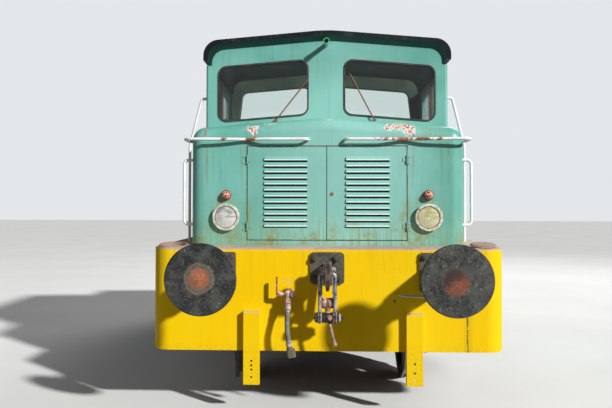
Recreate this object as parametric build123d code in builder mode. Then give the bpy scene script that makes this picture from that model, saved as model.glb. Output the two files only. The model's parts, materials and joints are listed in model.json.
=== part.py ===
from build123d import *
import math
import os

os.makedirs("parts", exist_ok=True)

# Two-axle diesel shunting locomotive, in millimetres.
# X runs across the locomotive, the short hood faces -Y, Z is up, and z = 0 is the lowest point of the
# wheel flanges, so heights above the rail head are counted from rail_top.

# Track and wheels
flange_depth = 28
rail_top = flange_depth
tread_radius = 425
wheel_back_half = 680
wheel_seat_radius = 85
axle_y = 1250
axle_radius = 75
journal_radius = 55
journal_end = 1000
axle_height = rail_top + tread_radius
bearing_gap = 0.3
seat_gap = 0.2
guard_gap = 6

# Underframe
frame_half_length = 2450
frame_half_width = 1358
end_corner_radius = 140
deck_thickness = 12
deck_top = rail_top + 1233
deck_bottom = deck_top - deck_thickness
beam_thickness = 16
beam_bottom = rail_top + 444
beam_return = 330
beam_lower_radius = 30
frame_plate_inner = 885
frame_plate_thickness = 25
frame_plate_outer = frame_plate_inner + frame_plate_thickness
frame_bottom = rail_top + 560
horn_top_half_width = 430
horn_slope = 70
horn_opening_top = axle_height + 215
horn_stay_gap = 12
horn_stay_height = 32
stretcher_y = 700
drag_stretcher_y = 2050
stretcher_thickness = 20
stretcher_bottom = rail_top + 672
frame_slot_length = 600
frame_slot_height = 220
stretcher_slot_length = 560
bearer_y = (470, 1520)
bearer_width = 90
bearer_bottom = axle_height + tread_radius + flange_depth + 16
bearer_top = bearer_bottom + 78
engine_well_half_width = 420
engine_well_y = (330, 1680)
beam_hole_x = 516
beam_hole_z = rail_top + 829
beam_hole_radius = 9

# Axleboxes and leaf springs
box_width = 250
box_height = 300
box_inner = 862
box_outer = 1035
box_flange = 20
box_flange_thickness = 20
box_cover_radius = 95
horn_clearance = 0.5
horn_bottom = axle_height - box_height / 2 - horn_stay_gap
spring_width = 90
spring_inner = 945
spring_radius = 2600
leaf_thickness = 12
leaf_half_lengths = (460, 400, 340, 280, 220, 160, 110)
buckle_width = 90
buckle_wall = 16
spring_eye_radius = 24
spring_pin_radius = 12
hanger_cheek = 12
hanger_gap = 2

# Buffers
buffer_half_spacing = 875
buffer_height = rail_top + 1050
buffer_reach = 620
buffer_head_radius = 250
buffer_head_thickness = 44
buffer_crown = 8
buffer_plate_width = 345
buffer_plate_height = 300
buffer_plate_thickness = 20
buffer_housing_length = 330
buffer_housing_radius = 120
buffer_plunger_radius = 82

# Draw gear
draw_height = rail_top + 1079
draw_plate_width = 263
draw_plate_height = 244
draw_plate_thickness = 16
hook_width = 60
coupling_half_gap = 57
coupling_bar_radius = 13

# Guard posts
left_post_x = -577
right_post_x = 662
post_width = 123
post_depth = 50
post_wall = 8
left_post_top = rail_top + 752
right_post_top = rail_top + 742
post_bottom = rail_top + 195
post_hole_radius = 8.5
left_post_holes = (375, 342, 309, 253)
right_post_holes = (363, 294, 236)

# Bodywork
hood_face_y = 2130
hood_half_width = 1119
hood_peak = rail_top + 2288
hood_wall = 8
hood_corner_radius = 105
shoulder_extra = 8
hood_slope = 0.078
roof_slope = 0.084
ridge_radius = 1500
cab_front_y = -1500
cab_rear_y = 120
cab_half_width = 1100
cab_wall = 35
cab_corner_radius = 25
roof_peak = rail_top + 3102
roof_thickness = 40
roof_corner_radius = 140
roof_inner_radius = 122
roof_side = 1087
roof_leg_bottom = rail_top + 2838
roof_overhang = 235

# Openings of the end hood
end_door_half = 654.5
end_door_bottom = rail_top + 1278
end_door_height = 765
side_door_start = 470
side_door_width = 1360
door_gap = 6
door_thickness = 8
knuckle_radius = 6.5
knuckle_stand = 9
knuckle_length = 34
strap_length = 34
strap_thickness = 4
louvre_width = 352
louvre_pitch = 49.2
louvre_count = 12
louvre_drop = 30
louvre_stand = 15
louvre_skin = 3
louvre_first = 85
louvre_shift = 8
stop_cover = 20
stop_gap = 6
stop_thickness = 6
middle_stop_width = 50
hinge_inset = 110
lock_radius = 15
lock_stand = 9
lock_inset = 44
lock_height = 378

# Cab openings
window_slope = 0.083
window_inner = 166
front_window = (983, 983, rail_top + 2903, rail_top + 2401)
rear_window = (1005, 945, rail_top + 2926, rail_top + 2401)
window_radius = 76
glass_thickness = 6
seal_width = 15
seal_stand = 7
side_window_y = (-1370, -850)
side_window_z = (rail_top + 2300, rail_top + 2780)
side_window_radius = 60
pane_inset = 12
pane_gap = 0.5
roof_seat_gap = 0.5
cab_door_y = (-720, -60)
cab_door_z = (deck_top + 14, rail_top + 2825)
cab_door_gap = 7
cab_door_window_margin = 110
cab_door_window_z = (rail_top + 2180, rail_top + 2720)

# Underframe equipment
sand_x = 1170
sand_y = 2262
sand_width = 234
sand_depth = 230
sand_hopper = 130
sand_pipe_radius = 17
sand_lid_x = 1215
sand_lid_y = 2330
sand_lid_radius = 104
sand_lid_tilt = 7.5
sand_collar_radius = 94
sand_collar_wall = 14
open_collar_radius = 114
sand_collar_height = 18
brake_gap = 8
shoe_thickness = 48
shoe_width = 80
shoe_height = 330
brake_hanger_thickness = 18
brake_beam_radius = 22
brake_cylinder_z = rail_top + 800
brake_cylinder_y = 1880
brake_cylinder_radius = 95
gearbox_half_width = 240
gearbox_half_length = 330
gearbox_bottom = rail_top + 360
gearbox_top = rail_top + 860
gearbox_arm_z = rail_top + 760
gearbox_shaft_z = rail_top + 520
chain_case_x = 110
chain_case_width = 100
chain_case_radius = 165
step_depth = 230
step_half_width = 255
step_wall = 8
step_heights = (rail_top + 400, rail_top + 810)
tank_x = (960, 1290)
tank_y = (110, 640)
tank_z = (rail_top + 640, rail_top + 1150)
reservoir_y = 2240
reservoir_z = rail_top + 1010
reservoir_radius = 125
reservoir_half_length = 480
hook_eye_reach = 130
hook_throat_reach = 240
hook_radius = 120
hook_drop = 28
hook_nose_width = 26
hook_tip_width = 16
hook_throat = 38
hook_shank = 76
coupling_pin_radius = 17
link_inner = 36
link_outer = 58
link_thickness = 22
coupling_nut_z = rail_top + 835
coupling_nut_radius = 37
coupling_foot_z = rail_top + 733
coupling_foot_radius = 38
coupling_foot_half_width = 86
coupling_arm_end = 122
coupling_lever_x = 54
coupling_lever_z = rail_top + 537
coupling_lever_radius = 13
hose_radius = 19
cock_radius = 34
cock_pipe_radius = 23
cock_nipple = 105
cock_nut_radius = 32
cock_nut_span = (42, 74)
cock_stem_radius = 16
cock_cap_radius = 25
cock_cap_span = (37, 46)
cock_spindle = 96
cock_boss_span = (48, 78)
cock_lever = 140
grab_x = (545, 790)
grab_z = rail_top + 880
grab_stand = 80
grab_radius = 9

# Cab fittings, engine and batteries
door_handle_z = rail_top + 2050
wiper_lines = (((-458, 2330), (-176, 2688)), ((437, 2330), (220, 2740)))
wiper_stand = 26
horn_z = rail_top + 3024
horn_length = 165
horn_radius = 27
horn_tube_radius = 21
horn_wall = 5
exhaust_y = 560
exhaust_radius = 62
exhaust_height = 430
exhaust_sink = 12
engine_half_width = 330
engine_y = (400, 1600)
engine_top = rail_top + 2000
engine_clearance = 40
battery_y = -1790
battery_width = 1100
battery_depth = 380
battery_height = 420
desk_half_width = 520
desk_height = 960
desk_depth = 430
seat_x = 430
seat_y = -560
seat_height = 480

# Lamps and handrails
seal_cover = 8
marker_depth = 56
bar_inner_x = 152
bar_outer_x = 1158
headlamp_x = 823
headlamp_z = rail_top + 1463
headlamp_radius = 112
headlamp_depth = 38
lens_radius = 89
lens_crown = 12
marker_z = rail_top + 1643
marker_radius = 42
rail_radius = 12.5
bar_z = rail_top + 2098
side_rail_z = (rail_top + 1400, rail_top + 1937)
side_rail_y = 2010
side_rail_stand = 75
stanchion_x = 1257
stanchion_y = (-1440, 62)
stanchion_knee = rail_top + 2100
stanchion_top = rail_top + 2541
stanchion_stand = 48


def finish(builder, name):
    """Name a finished piece and write it out."""
    builder.part.label = name
    export_step(builder.part, "parts/" + name + ".step")


def four_ways(solid):
    """Place a piece of the front right corner at all four corners."""
    with BuildPart() as group:
        add(solid)
        mirror(about=Plane.YZ)
        mirror(about=Plane.XZ)
    return group.part


def both_ends(solid):
    """Place a piece of the front end at the rear end too, turned half round."""
    with BuildPart() as group:
        add(solid)
        add(solid.rotate(Axis.Z, 180))
    return group.part


def bent_rod(points, radii, radius):
    """Round bar along straight runs joined by tangent arcs."""
    with BuildPart() as rod:
        with BuildLine() as path:
            FilletPolyline(*points, radius=radii)
        with BuildSketch(Plane(origin=path.line @ 0, z_dir=path.line % 0)):
            Circle(radius)
        sweep(path=path.line)
    return rod.part


def crown_arc(radius, height, crown):
    """Arc of a shallow dome from its rim to its top on the Y axis."""
    sphere = (radius**2 + crown**2) / (2 * crown)
    angle = math.asin(radius / sphere) / 2
    middle = (sphere * math.sin(angle), height + crown - sphere * (1 - math.cos(angle)))
    return ThreePointArc((radius, height), middle, (0, height + crown))


def cross_section(half_width, peak, base, corner, slope):
    """Low gable over upright sides, with round shoulders and a soft ridge, as an upright outline."""
    shoulder = peak - slope * half_width
    with BuildSketch() as section:
        with BuildLine():
            Polyline(
                (-half_width, base),
                (half_width, base),
                (half_width, shoulder),
                (0, peak),
                (-half_width, shoulder),
                close=True,
            )
        make_face()
        fillet(section.vertices().group_by(Axis.Y)[-1], ridge_radius)
        fillet(section.vertices().group_by(Axis.Y)[1], corner)
    return section.sketch_local


def hood_form(half_width, peak, base, corner, length):
    """Solid hood facing -Y from y = 0, its front edges rounded by a little less than its shoulders."""
    with BuildPart() as form:
        with BuildSketch(Plane.XZ.offset(-length)):
            add(cross_section(half_width, peak, base, corner + shoulder_extra, hood_slope))
        extrude(amount=length)
        front = form.faces().sort_by(Axis.Y)[0]
        fillet(front.edges().sort_by(Axis.Z)[1:], corner)
    return form.part


def hood_shell(length):
    """Sheet hood, open below and behind, facing -Y from y = 0."""
    outer = hood_form(hood_half_width, hood_peak, deck_top, hood_corner_radius, length)
    inner = hood_form(
        hood_half_width - hood_wall,
        hood_peak - hood_wall,
        deck_top - hood_wall,
        hood_corner_radius - hood_wall,
        length,
    )
    with BuildPart() as shell:
        add(outer)
        with Locations((0, hood_wall, 0)):
            add(inner, mode=Mode.SUBTRACT)
    return shell.part


def louvre_hood():
    """Pressed hood of one louvre: closed above and at its ends, open below, top edge at z = 0."""
    with BuildPart() as hood:
        for width, top, stand, drop, mode in (
            (louvre_width, 0, louvre_stand, louvre_drop, Mode.ADD),
            (
                louvre_width - 2 * louvre_skin,
                -2 * louvre_skin,
                louvre_stand - louvre_skin,
                louvre_drop,
                Mode.SUBTRACT,
            ),
        ):
            with BuildSketch(Plane.YZ.offset(-width / 2)):
                with BuildLine():
                    Line((0, top), (0, -drop))
                    Line((0, -drop), (-stand, -drop))
                    ThreePointArc((-stand, -drop), (-0.72 * stand, top - 0.42 * (drop + top)), (0, top))
                make_face()
            extrude(amount=width, mode=mode)
    return hood.part


def knuckle(heights, length, side):
    """Hinge barrels on one pin with their straps to one side of it, at the given heights."""
    with BuildPart() as barrels:
        with Locations([(0, 0, height) for height in heights]):
            Cylinder(knuckle_radius, length)
        with Locations(
            [
                (side * strap_length / 2, knuckle_stand - strap_thickness / 2, height)
                for height in heights
            ]
        ):
            Box(strap_length, strap_thickness, length)
    return barrels.part


def leaf_knuckles(height):
    """Barrels on a leaf of the given height, for a pin at the origin and a leaf towards +X."""
    return knuckle((hinge_inset, height - hinge_inset), knuckle_length, 1)


def frame_knuckles(height):
    """Barrels on the frame, above and below those of the leaf."""
    step = (knuckle_length + knuckle_length / 2) / 2 + 0.5
    heights = [
        centre + way * step for centre in (hinge_inset, height - hinge_inset) for way in (-1, 1)
    ]
    return knuckle(heights, knuckle_length / 2, -1)


def hood_door(width, lock):
    """Louvred leaf facing -Y, hinged on a pin at the origin, its outer face knuckle_stand behind it."""
    slot_tops = [end_door_height - louvre_first - louvre_pitch * index for index in range(louvre_count)]
    edge = door_gap / 2
    middle = edge + width / 2
    louvre_middle = middle - louvre_shift
    with BuildPart() as leaf:
        with BuildSketch(Plane.XZ.offset(-knuckle_stand)):
            with Locations((middle, end_door_height / 2)):
                Rectangle(width, end_door_height)
            with Locations([(louvre_middle, top - louvre_drop / 2 - louvre_skin) for top in slot_tops]):
                Rectangle(
                    louvre_width - 2 * louvre_skin, louvre_drop - 3 * louvre_skin, mode=Mode.SUBTRACT
                )
        extrude(amount=-door_thickness)
        with Locations([(louvre_middle, knuckle_stand, top) for top in slot_tops]):
            add(louvre_hood())
        add(leaf_knuckles(end_door_height))
        if lock:
            with BuildSketch(Plane.XZ.offset(-knuckle_stand)):
                with Locations((edge + width - lock_inset, lock_height)):
                    Circle(lock_radius)
            extrude(amount=lock_stand, taper=15)
    return leaf.part


def door_stop(width):
    """Frame behind a pair of leaves facing -Y, centred on the foot of their opening, y = 0 on the sheet."""
    height = end_door_height + 2 * door_gap
    with BuildPart() as stop:
        for grow, start, depth in (
            (stop_cover, 0, stop_gap + stop_thickness),
            (0, stop_gap, stop_thickness),
        ):
            with BuildSketch(Plane.XZ.offset(-start)):
                with Locations((0, end_door_height / 2)):
                    Rectangle(width + 2 * grow, height + 2 * grow)
                    Rectangle(
                        width - 2 * (stop_cover - grow), height - 2 * (stop_cover - grow), mode=Mode.SUBTRACT
                    )
            extrude(amount=-depth)
        with Locations((0, stop_gap + stop_thickness / 2, end_door_height / 2)):
            Box(middle_stop_width, stop_thickness, height)
    return stop.part


def window_outline(window, grow):
    """End window on the right of the centre line, its long edges along the window slope."""
    outer_foot, outer_head, top, bottom = window
    left = window_inner - grow
    with BuildSketch() as pane:
        with BuildLine():
            Polyline(
                (left, bottom - grow - window_slope * left),
                (outer_foot + grow, bottom - grow - window_slope * (outer_foot + grow)),
                (outer_head + grow, top + grow - window_slope * (outer_head + grow)),
                (left, top + grow - window_slope * left),
                close=True,
            )
        make_face()
        fillet(pane.vertices(), window_radius + grow)
    return pane.sketch_local


def side_outline(span_y, span_z, grow):
    """Upright window of a cab side, grown by a margin."""
    with BuildSketch() as pane:
        with Locations(((span_y[0] + span_y[1]) / 2, (span_z[0] + span_z[1]) / 2)):
            RectangleRounded(
                span_y[1] - span_y[0] + 2 * grow,
                span_z[1] - span_z[0] + 2 * grow,
                side_window_radius + grow,
            )
    return pane.sketch_local


# Wheels and axles
with BuildPart() as wheel:
    with BuildSketch(Plane.XY):
        with BuildLine():
            Polyline(
                (wheel_back_half - 25, wheel_seat_radius + seat_gap),
                (wheel_back_half - 25, 120),
                (wheel_back_half + 25, 135),
                (wheel_back_half + 42, tread_radius - 95),
                (wheel_back_half, tread_radius - 70),
                (wheel_back_half, tread_radius + 14),
                (wheel_back_half + 9, tread_radius + flange_depth),
                (wheel_back_half + 20, tread_radius + flange_depth),
                (wheel_back_half + 34, tread_radius + 3),
                (wheel_back_half + 126, tread_radius - 4),
                (wheel_back_half + 132, tread_radius - 10),
                (wheel_back_half + 132, tread_radius - 73),
                (wheel_back_half + 76, tread_radius - 90),
                (wheel_back_half + 62, 140),
                (wheel_back_half + 148, 120),
                (wheel_back_half + 148, wheel_seat_radius + seat_gap),
                close=True,
            )
        make_face()
    revolve(axis=Axis.X)
    with BuildSketch(Plane.YZ.offset(wheel_back_half)):
        with PolarLocations(235, 4, start_angle=45):
            Circle(38)
    extrude(amount=100, mode=Mode.SUBTRACT)

with BuildPart() as axle:
    with BuildSketch(Plane.XY):
        with BuildLine():
            Polyline(
                (0, 0),
                (journal_end, 0),
                (journal_end, journal_radius),
                (wheel_back_half + 165, journal_radius),
                (wheel_back_half + 150, wheel_seat_radius - 5),
                (wheel_back_half + 150, wheel_seat_radius),
                (wheel_back_half - 30, wheel_seat_radius),
                (wheel_back_half - 50, axle_radius),
                (0, axle_radius),
                close=True,
            )
        make_face()
    revolve(axis=Axis.X)
    mirror(about=Plane.YZ)

for end, y in (("front", -axle_y), ("rear", axle_y)):
    with BuildPart() as wheels:
        with Locations((0, y, axle_height)):
            add(wheel.part)
        mirror(about=Plane.YZ)
    finish(wheels, end + "_wheels")
    with BuildPart() as axle_bar:
        with Locations((0, y, axle_height)):
            add(axle.part)
    finish(axle_bar, end + "_axle")

# Spring geometry shared by the springs and their hangers
box_top = axle_height + box_height / 2
leaf_stack = len(leaf_half_lengths) * leaf_thickness
spring_centre_z = box_top + buckle_wall + leaf_stack + spring_radius
eye_angle = (leaf_half_lengths[0] + spring_eye_radius * 0.8) / spring_radius
eye_y = (spring_radius + leaf_thickness / 2) * math.sin(eye_angle)
eye_z = spring_centre_z - (spring_radius + leaf_thickness / 2) * math.cos(eye_angle)
spring_outer = spring_inner + spring_width
hanger_inner = spring_inner - hanger_gap - hanger_cheek
hanger_outer = spring_outer + hanger_gap + hanger_cheek
brake_pin_y = axle_y + tread_radius + 95
brake_pin_z = axle_height + 420
brake_pin_radius = 15
brake_hanger_x = 765

# Frame plate with horn gaps, stays, spring hangers and brake pins
with BuildPart() as frame_plates:
    with BuildSketch(Plane.YZ.offset(frame_plate_inner)):
        with Locations((0, (deck_bottom + frame_bottom) / 2)):
            Rectangle(2 * (frame_half_length - beam_thickness), deck_bottom - frame_bottom)
        with Locations((-axle_y, frame_bottom), (axle_y, frame_bottom)):
            Trapezoid(
                2 * horn_top_half_width,
                2 * (frame_bottom - horn_bottom),
                horn_slope,
                rotation=180,
                align=(Align.CENTER, Align.CENTER),
            )
        with Locations((0, frame_bottom + 330)):
            SlotOverall(frame_slot_length, frame_slot_height, mode=Mode.SUBTRACT)
        with Locations((-2130, frame_bottom + 330), (2130, frame_bottom + 330)):
            Circle(120, mode=Mode.SUBTRACT)
        with Locations(
            (-axle_y, (horn_opening_top + horn_bottom) / 2),
            (axle_y, (horn_opening_top + horn_bottom) / 2),
        ):
            Rectangle(box_width + 2 * horn_clearance, horn_opening_top - horn_bottom, mode=Mode.SUBTRACT)
    extrude(amount=frame_plate_thickness)
    for y in (-axle_y, axle_y):
        with BuildSketch(Plane.YZ.offset(frame_plate_inner - 5)):
            with Locations((y, horn_bottom - horn_stay_height / 2)):
                Rectangle(box_width + 180, horn_stay_height)
        extrude(amount=frame_plate_thickness + 10)
        for eye in (y - eye_y, y + eye_y):
            with BuildSketch(Plane.YZ.offset(hanger_inner)):
                with Locations((eye, eye_z + 28)):
                    RectangleRounded(72, 126, 20)
            extrude(amount=hanger_cheek)
            with BuildSketch(Plane.YZ.offset(hanger_outer - hanger_cheek)):
                with Locations((eye, eye_z + 28)):
                    RectangleRounded(72, 126, 20)
            extrude(amount=hanger_cheek)
            with BuildSketch(Plane.YZ.offset(frame_plate_outer)):
                with Locations((eye, eye_z + 66)):
                    Rectangle(72, 50)
            extrude(amount=hanger_outer - frame_plate_outer)
            with BuildSketch(Plane.YZ.offset(hanger_inner)):
                with Locations((eye, eye_z)):
                    Circle(spring_pin_radius)
            extrude(amount=hanger_outer - hanger_inner)
    for y in (-brake_pin_y, brake_pin_y):
        with BuildSketch(Plane.YZ.offset(brake_hanger_x - 25)):
            with Locations((y, brake_pin_z)):
                Circle(brake_pin_radius)
        extrude(amount=frame_plate_inner - brake_hanger_x + 25)
    mirror(about=Plane.YZ)
finish(frame_plates, "frame_plates")

# Cross members between the frame plates
with BuildPart() as stretchers:
    for y in (-drag_stretcher_y, -stretcher_y, stretcher_y, drag_stretcher_y):
        with BuildSketch(Plane.XZ.offset(-y - stretcher_thickness / 2)):
            with Locations((0, (deck_bottom + stretcher_bottom) / 2)):
                Rectangle(2 * frame_plate_inner, deck_bottom - stretcher_bottom)
            with Locations((0, (deck_bottom + stretcher_bottom) / 2)):
                SlotOverall(stretcher_slot_length, frame_slot_height, mode=Mode.SUBTRACT)
        extrude(amount=stretcher_thickness)
    with Locations((0, (engine_y[0] + engine_y[1]) / 2, (bearer_bottom + deck_bottom) / 2)):
        Box(
            2 * (engine_half_width + engine_clearance),
            engine_y[1] - engine_y[0] + 2 * engine_clearance,
            deck_bottom - bearer_bottom,
            mode=Mode.SUBTRACT,
        )
    for y in bearer_y:
        with Locations((0, y, (bearer_bottom + bearer_top) / 2)):
            Box(2 * frame_plate_inner, bearer_width, bearer_top - bearer_bottom)
finish(stretchers, "frame_stretchers")

# Buffer beam: one bent plate with rounded ends and rounded lower corners
with BuildPart() as front_beam:
    with BuildSketch(Plane.XY.offset(beam_bottom)):
        with Locations((0, -frame_half_length + beam_return)):
            RectangleRounded(2 * frame_half_width, 2 * beam_return, end_corner_radius)
            RectangleRounded(
                2 * (frame_half_width - beam_thickness),
                2 * (beam_return - beam_thickness),
                end_corner_radius - beam_thickness,
                mode=Mode.SUBTRACT,
            )
        with Locations((0, -frame_half_length + 1.5 * beam_return)):
            Rectangle(2 * frame_half_width, beam_return, mode=Mode.SUBTRACT)
    extrude(amount=deck_bottom - beam_bottom)
    with BuildSketch(Plane.XZ.offset(frame_half_length)) as elevation:
        with Locations((0, (deck_bottom + beam_bottom) / 2)):
            Rectangle(2 * frame_half_width, deck_bottom - beam_bottom)
        fillet(elevation.vertices().group_by(Axis.Y)[0], beam_lower_radius)
    extrude(amount=-beam_return, mode=Mode.INTERSECT)
    with BuildSketch(Plane.XZ.offset(frame_half_length)):
        with Locations((beam_hole_x, beam_hole_z)):
            Circle(beam_hole_radius)
    extrude(amount=-beam_thickness, mode=Mode.SUBTRACT)

with BuildPart() as buffer_beams:
    add(both_ends(front_beam.part))
finish(buffer_beams, "buffer_beams")

# Deck plate with a well for the engine
with BuildPart() as deck:
    with BuildSketch(Plane.XY.offset(deck_bottom)):
        RectangleRounded(2 * frame_half_width, 2 * frame_half_length, end_corner_radius)
        with Locations((0, (engine_well_y[0] + engine_well_y[1]) / 2)):
            Rectangle(
                2 * engine_well_half_width, engine_well_y[1] - engine_well_y[0], mode=Mode.SUBTRACT
            )
    extrude(amount=deck_thickness)
finish(deck, "deck")

# Axleboxes with guide flanges, a round cover and a blind bore for the journal
with BuildPart() as box:
    with BuildSketch(Plane.YZ.offset(box_inner)):
        with Locations((-axle_y, axle_height)):
            RectangleRounded(box_width, box_height, 14)
    extrude(amount=box_outer - box_inner)
    for x in (box_inner, frame_plate_outer + 2):
        with BuildSketch(Plane.YZ.offset(x)):
            with Locations((-axle_y, axle_height)):
                RectangleRounded(box_width + 2 * box_flange, box_height, 14)
        extrude(amount=box_flange_thickness)
    with BuildSketch(Plane.YZ.offset(box_outer)):
        with Locations((-axle_y, axle_height)):
            Circle(box_cover_radius)
    extrude(amount=22, taper=12)
    with BuildSketch(Plane.YZ.offset(box_inner)):
        with Locations((-axle_y, axle_height)):
            Circle(journal_radius + bearing_gap)
    extrude(amount=journal_end - box_inner + 3, mode=Mode.SUBTRACT)

with BuildPart() as axleboxes:
    add(four_ways(box.part))
finish(axleboxes, "axleboxes")

# Leaf springs: concentric leaves, each shorter than the one above, in a forged buckle
with BuildPart() as spring:
    for index, half_length in enumerate(leaf_half_lengths):
        inner = spring_radius + index * leaf_thickness
        outer = inner + leaf_thickness
        angle = half_length / spring_radius
        corners = [
            (-axle_y + side * radius * math.sin(angle), spring_centre_z - radius * math.cos(angle))
            for radius, side in ((inner, -1), (inner, 1), (outer, 1), (outer, -1))
        ]
        with BuildSketch(Plane.YZ.offset(spring_inner)):
            with BuildLine():
                ThreePointArc(corners[0], (-axle_y, spring_centre_z - inner), corners[1])
                Line(corners[1], corners[2])
                ThreePointArc(corners[2], (-axle_y, spring_centre_z - outer), corners[3])
                Line(corners[3], corners[0])
            make_face()
        extrude(amount=spring_width)
    with BuildSketch(Plane.YZ.offset(spring_inner)):
        with Locations((-axle_y - eye_y, eye_z), (-axle_y + eye_y, eye_z)):
            Circle(spring_eye_radius)
    extrude(amount=spring_width)
    with BuildSketch(Plane.YZ.offset(spring_inner)):
        with Locations((-axle_y - eye_y, eye_z), (-axle_y + eye_y, eye_z)):
            Circle(spring_pin_radius + horn_clearance)
    extrude(amount=spring_width, mode=Mode.SUBTRACT)
    with BuildSketch(Plane.YZ.offset(spring_inner - buckle_wall / 2)):
        with Locations((-axle_y, box_top + buckle_wall + leaf_stack / 2)):
            RectangleRounded(buckle_width, leaf_stack + 2 * buckle_wall, 10)
    extrude(amount=spring_width + buckle_wall)

with BuildPart() as leaf_springs:
    add(four_ways(spring.part))
finish(leaf_springs, "leaf_springs")

# Guard posts: channels closed at the top, with the bolt holes of the missing guard blades
post_face_y = -frame_half_length - post_depth
post_pieces = []
for x, top, holes in (
    (left_post_x, left_post_top, left_post_holes),
    (right_post_x, right_post_top, right_post_holes),
):
    with BuildPart() as post:
        with BuildSketch(Plane.XY.offset(post_bottom)):
            with Locations((x, -frame_half_length - post_depth / 2)):
                Rectangle(post_width, post_depth)
        extrude(amount=top - post_bottom)
        with BuildSketch(Plane.XY.offset(post_bottom)):
            with Locations((x, -frame_half_length - (post_depth - post_wall) / 2)):
                Rectangle(post_width - 2 * post_wall, post_depth - post_wall)
        extrude(amount=top - post_wall - post_bottom, mode=Mode.SUBTRACT)
        with BuildSketch(Plane.XZ.offset(-post_face_y)):
            with Locations([(x, rail_top + height) for height in holes]):
                Circle(post_hole_radius)
        extrude(amount=-post_wall, mode=Mode.SUBTRACT)
    post_pieces.append(post.part)

with BuildPart() as guard_posts:
    for piece in post_pieces:
        add(both_ends(piece))
finish(guard_posts, "guard_posts")

# Sand boxes under the deck corners, with pipes to the treads, and their round fillers: each has a
# sloping collar with a lid, but the front left lid is missing
with BuildPart() as sand_box:
    with BuildSketch(Plane.XY.offset(deck_bottom)):
        with Locations((sand_x, -sand_y)):
            RectangleRounded(sand_width, sand_width, 20)
    extrude(amount=-sand_depth)
    with BuildSketch(Plane.XY.offset(deck_bottom - sand_depth)):
        with Locations((sand_x, -sand_y)):
            RectangleRounded(sand_width, sand_width, 20)
    extrude(amount=-sand_hopper, taper=32)
    add(
        bent_rod(
            [
                (sand_x, -sand_y, deck_bottom - sand_depth - sand_hopper / 2),
                (sand_x, -sand_y + 20, frame_bottom - 68),
                (brake_hanger_x, -axle_y - 630, frame_bottom - 118),
                (brake_hanger_x, -axle_y - 540, rail_top + 82),
            ],
            [90, 120],
            sand_pipe_radius,
        )
    )

with BuildPart() as sand_boxes:
    add(four_ways(sand_box.part))
finish(sand_boxes, "sand_boxes")

sand_lid_place = Location((sand_lid_x, -sand_lid_y, deck_top + sand_collar_height), (sand_lid_tilt, 0, 0))
collars = []
for radius, hole in ((sand_collar_radius, 0), (open_collar_radius, open_collar_radius - sand_collar_wall)):
    with BuildPart() as collar:
        with BuildSketch(Plane.XY.offset(deck_top)):
            with Locations((sand_lid_x, -sand_lid_y)):
                Circle(radius)
                if hole:
                    Circle(hole, mode=Mode.SUBTRACT)
        extrude(amount=3 * sand_collar_height)
        with Locations(sand_lid_place):
            Box(
                3 * radius,
                3 * radius,
                4 * sand_collar_height,
                align=(Align.CENTER, Align.CENTER, Align.MIN),
                mode=Mode.SUBTRACT,
            )
    collars.append(collar.part)

with BuildPart() as sand_lid:
    add(collars[0])
    with Locations(sand_lid_place):
        Cone(
            sand_lid_radius,
            sand_lid_radius - 14,
            12,
            align=(Align.CENTER, Align.CENTER, Align.MIN),
        )
    with Locations((sand_lid_x, -sand_lid_y + sand_collar_radius + 12, deck_top + sand_collar_height)):
        Box(46, 36, 2 * sand_collar_height)

with BuildPart() as sand_lids:
    add(mirror(collars[1], about=Plane.YZ, mode=Mode.PRIVATE))
    add(both_ends(sand_lid.part))
    add(mirror(sand_lid.part, about=Plane.XZ, mode=Mode.PRIVATE))
finish(sand_lids, "sand_lids")

# Brake gear of one axle: shoes and hangers, cross beam, lever, push rod and cylinder
shoe_inner = tread_radius + brake_gap
shoe_outer = shoe_inner + shoe_thickness
beam_y = -brake_pin_y - 5
with BuildPart() as brake_set:
    with BuildSketch(Plane.YZ.offset(brake_hanger_x - shoe_width / 2)):
        with Locations((-axle_y, axle_height)):
            Circle(shoe_outer)
            Circle(shoe_inner, mode=Mode.SUBTRACT)
        with Locations((-axle_y - shoe_outer, axle_height)):
            Rectangle(2 * shoe_thickness + 30, shoe_height, mode=Mode.INTERSECT)
    extrude(amount=shoe_width)
    with BuildSketch(Plane.YZ.offset(brake_hanger_x - brake_hanger_thickness / 2)):
        with Locations((-brake_pin_y, brake_pin_z)):
            Circle(38)
        with BuildLine():
            Polyline(
                (-brake_pin_y - 30, brake_pin_z),
                (beam_y - 34, axle_height - 60),
                (-axle_y - shoe_inner - 12, axle_height - 60),
                (-axle_y - shoe_inner - 12, axle_height + 60),
                (-brake_pin_y + 30, brake_pin_z),
                close=True,
            )
        make_face()
        with Locations((-brake_pin_y, brake_pin_z)):
            Circle(brake_pin_radius + horn_clearance, mode=Mode.SUBTRACT)
    extrude(amount=brake_hanger_thickness)
    mirror(about=Plane.YZ)
    with Locations((0, beam_y, axle_height - 20)):
        Cylinder(brake_beam_radius, 2 * brake_hanger_x, rotation=(0, 90, 0))
    with Locations((0, beam_y, (axle_height + brake_cylinder_z) / 2)):
        Box(30, 60, brake_cylinder_z - axle_height + 70)
    with BuildSketch(Plane.XZ.offset(-beam_y)):
        with Locations((0, brake_cylinder_z)):
            Circle(14)
    extrude(amount=brake_cylinder_y + beam_y)
    with BuildSketch(Plane.XZ.offset(drag_stretcher_y - stretcher_thickness / 2)):
        with Locations((0, brake_cylinder_z)):
            Circle(brake_cylinder_radius)
    extrude(amount=-(drag_stretcher_y - stretcher_thickness / 2 - brake_cylinder_y))

with BuildPart() as brake_gear:
    add(both_ends(brake_set.part))
finish(brake_gear, "brake_gear")

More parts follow.
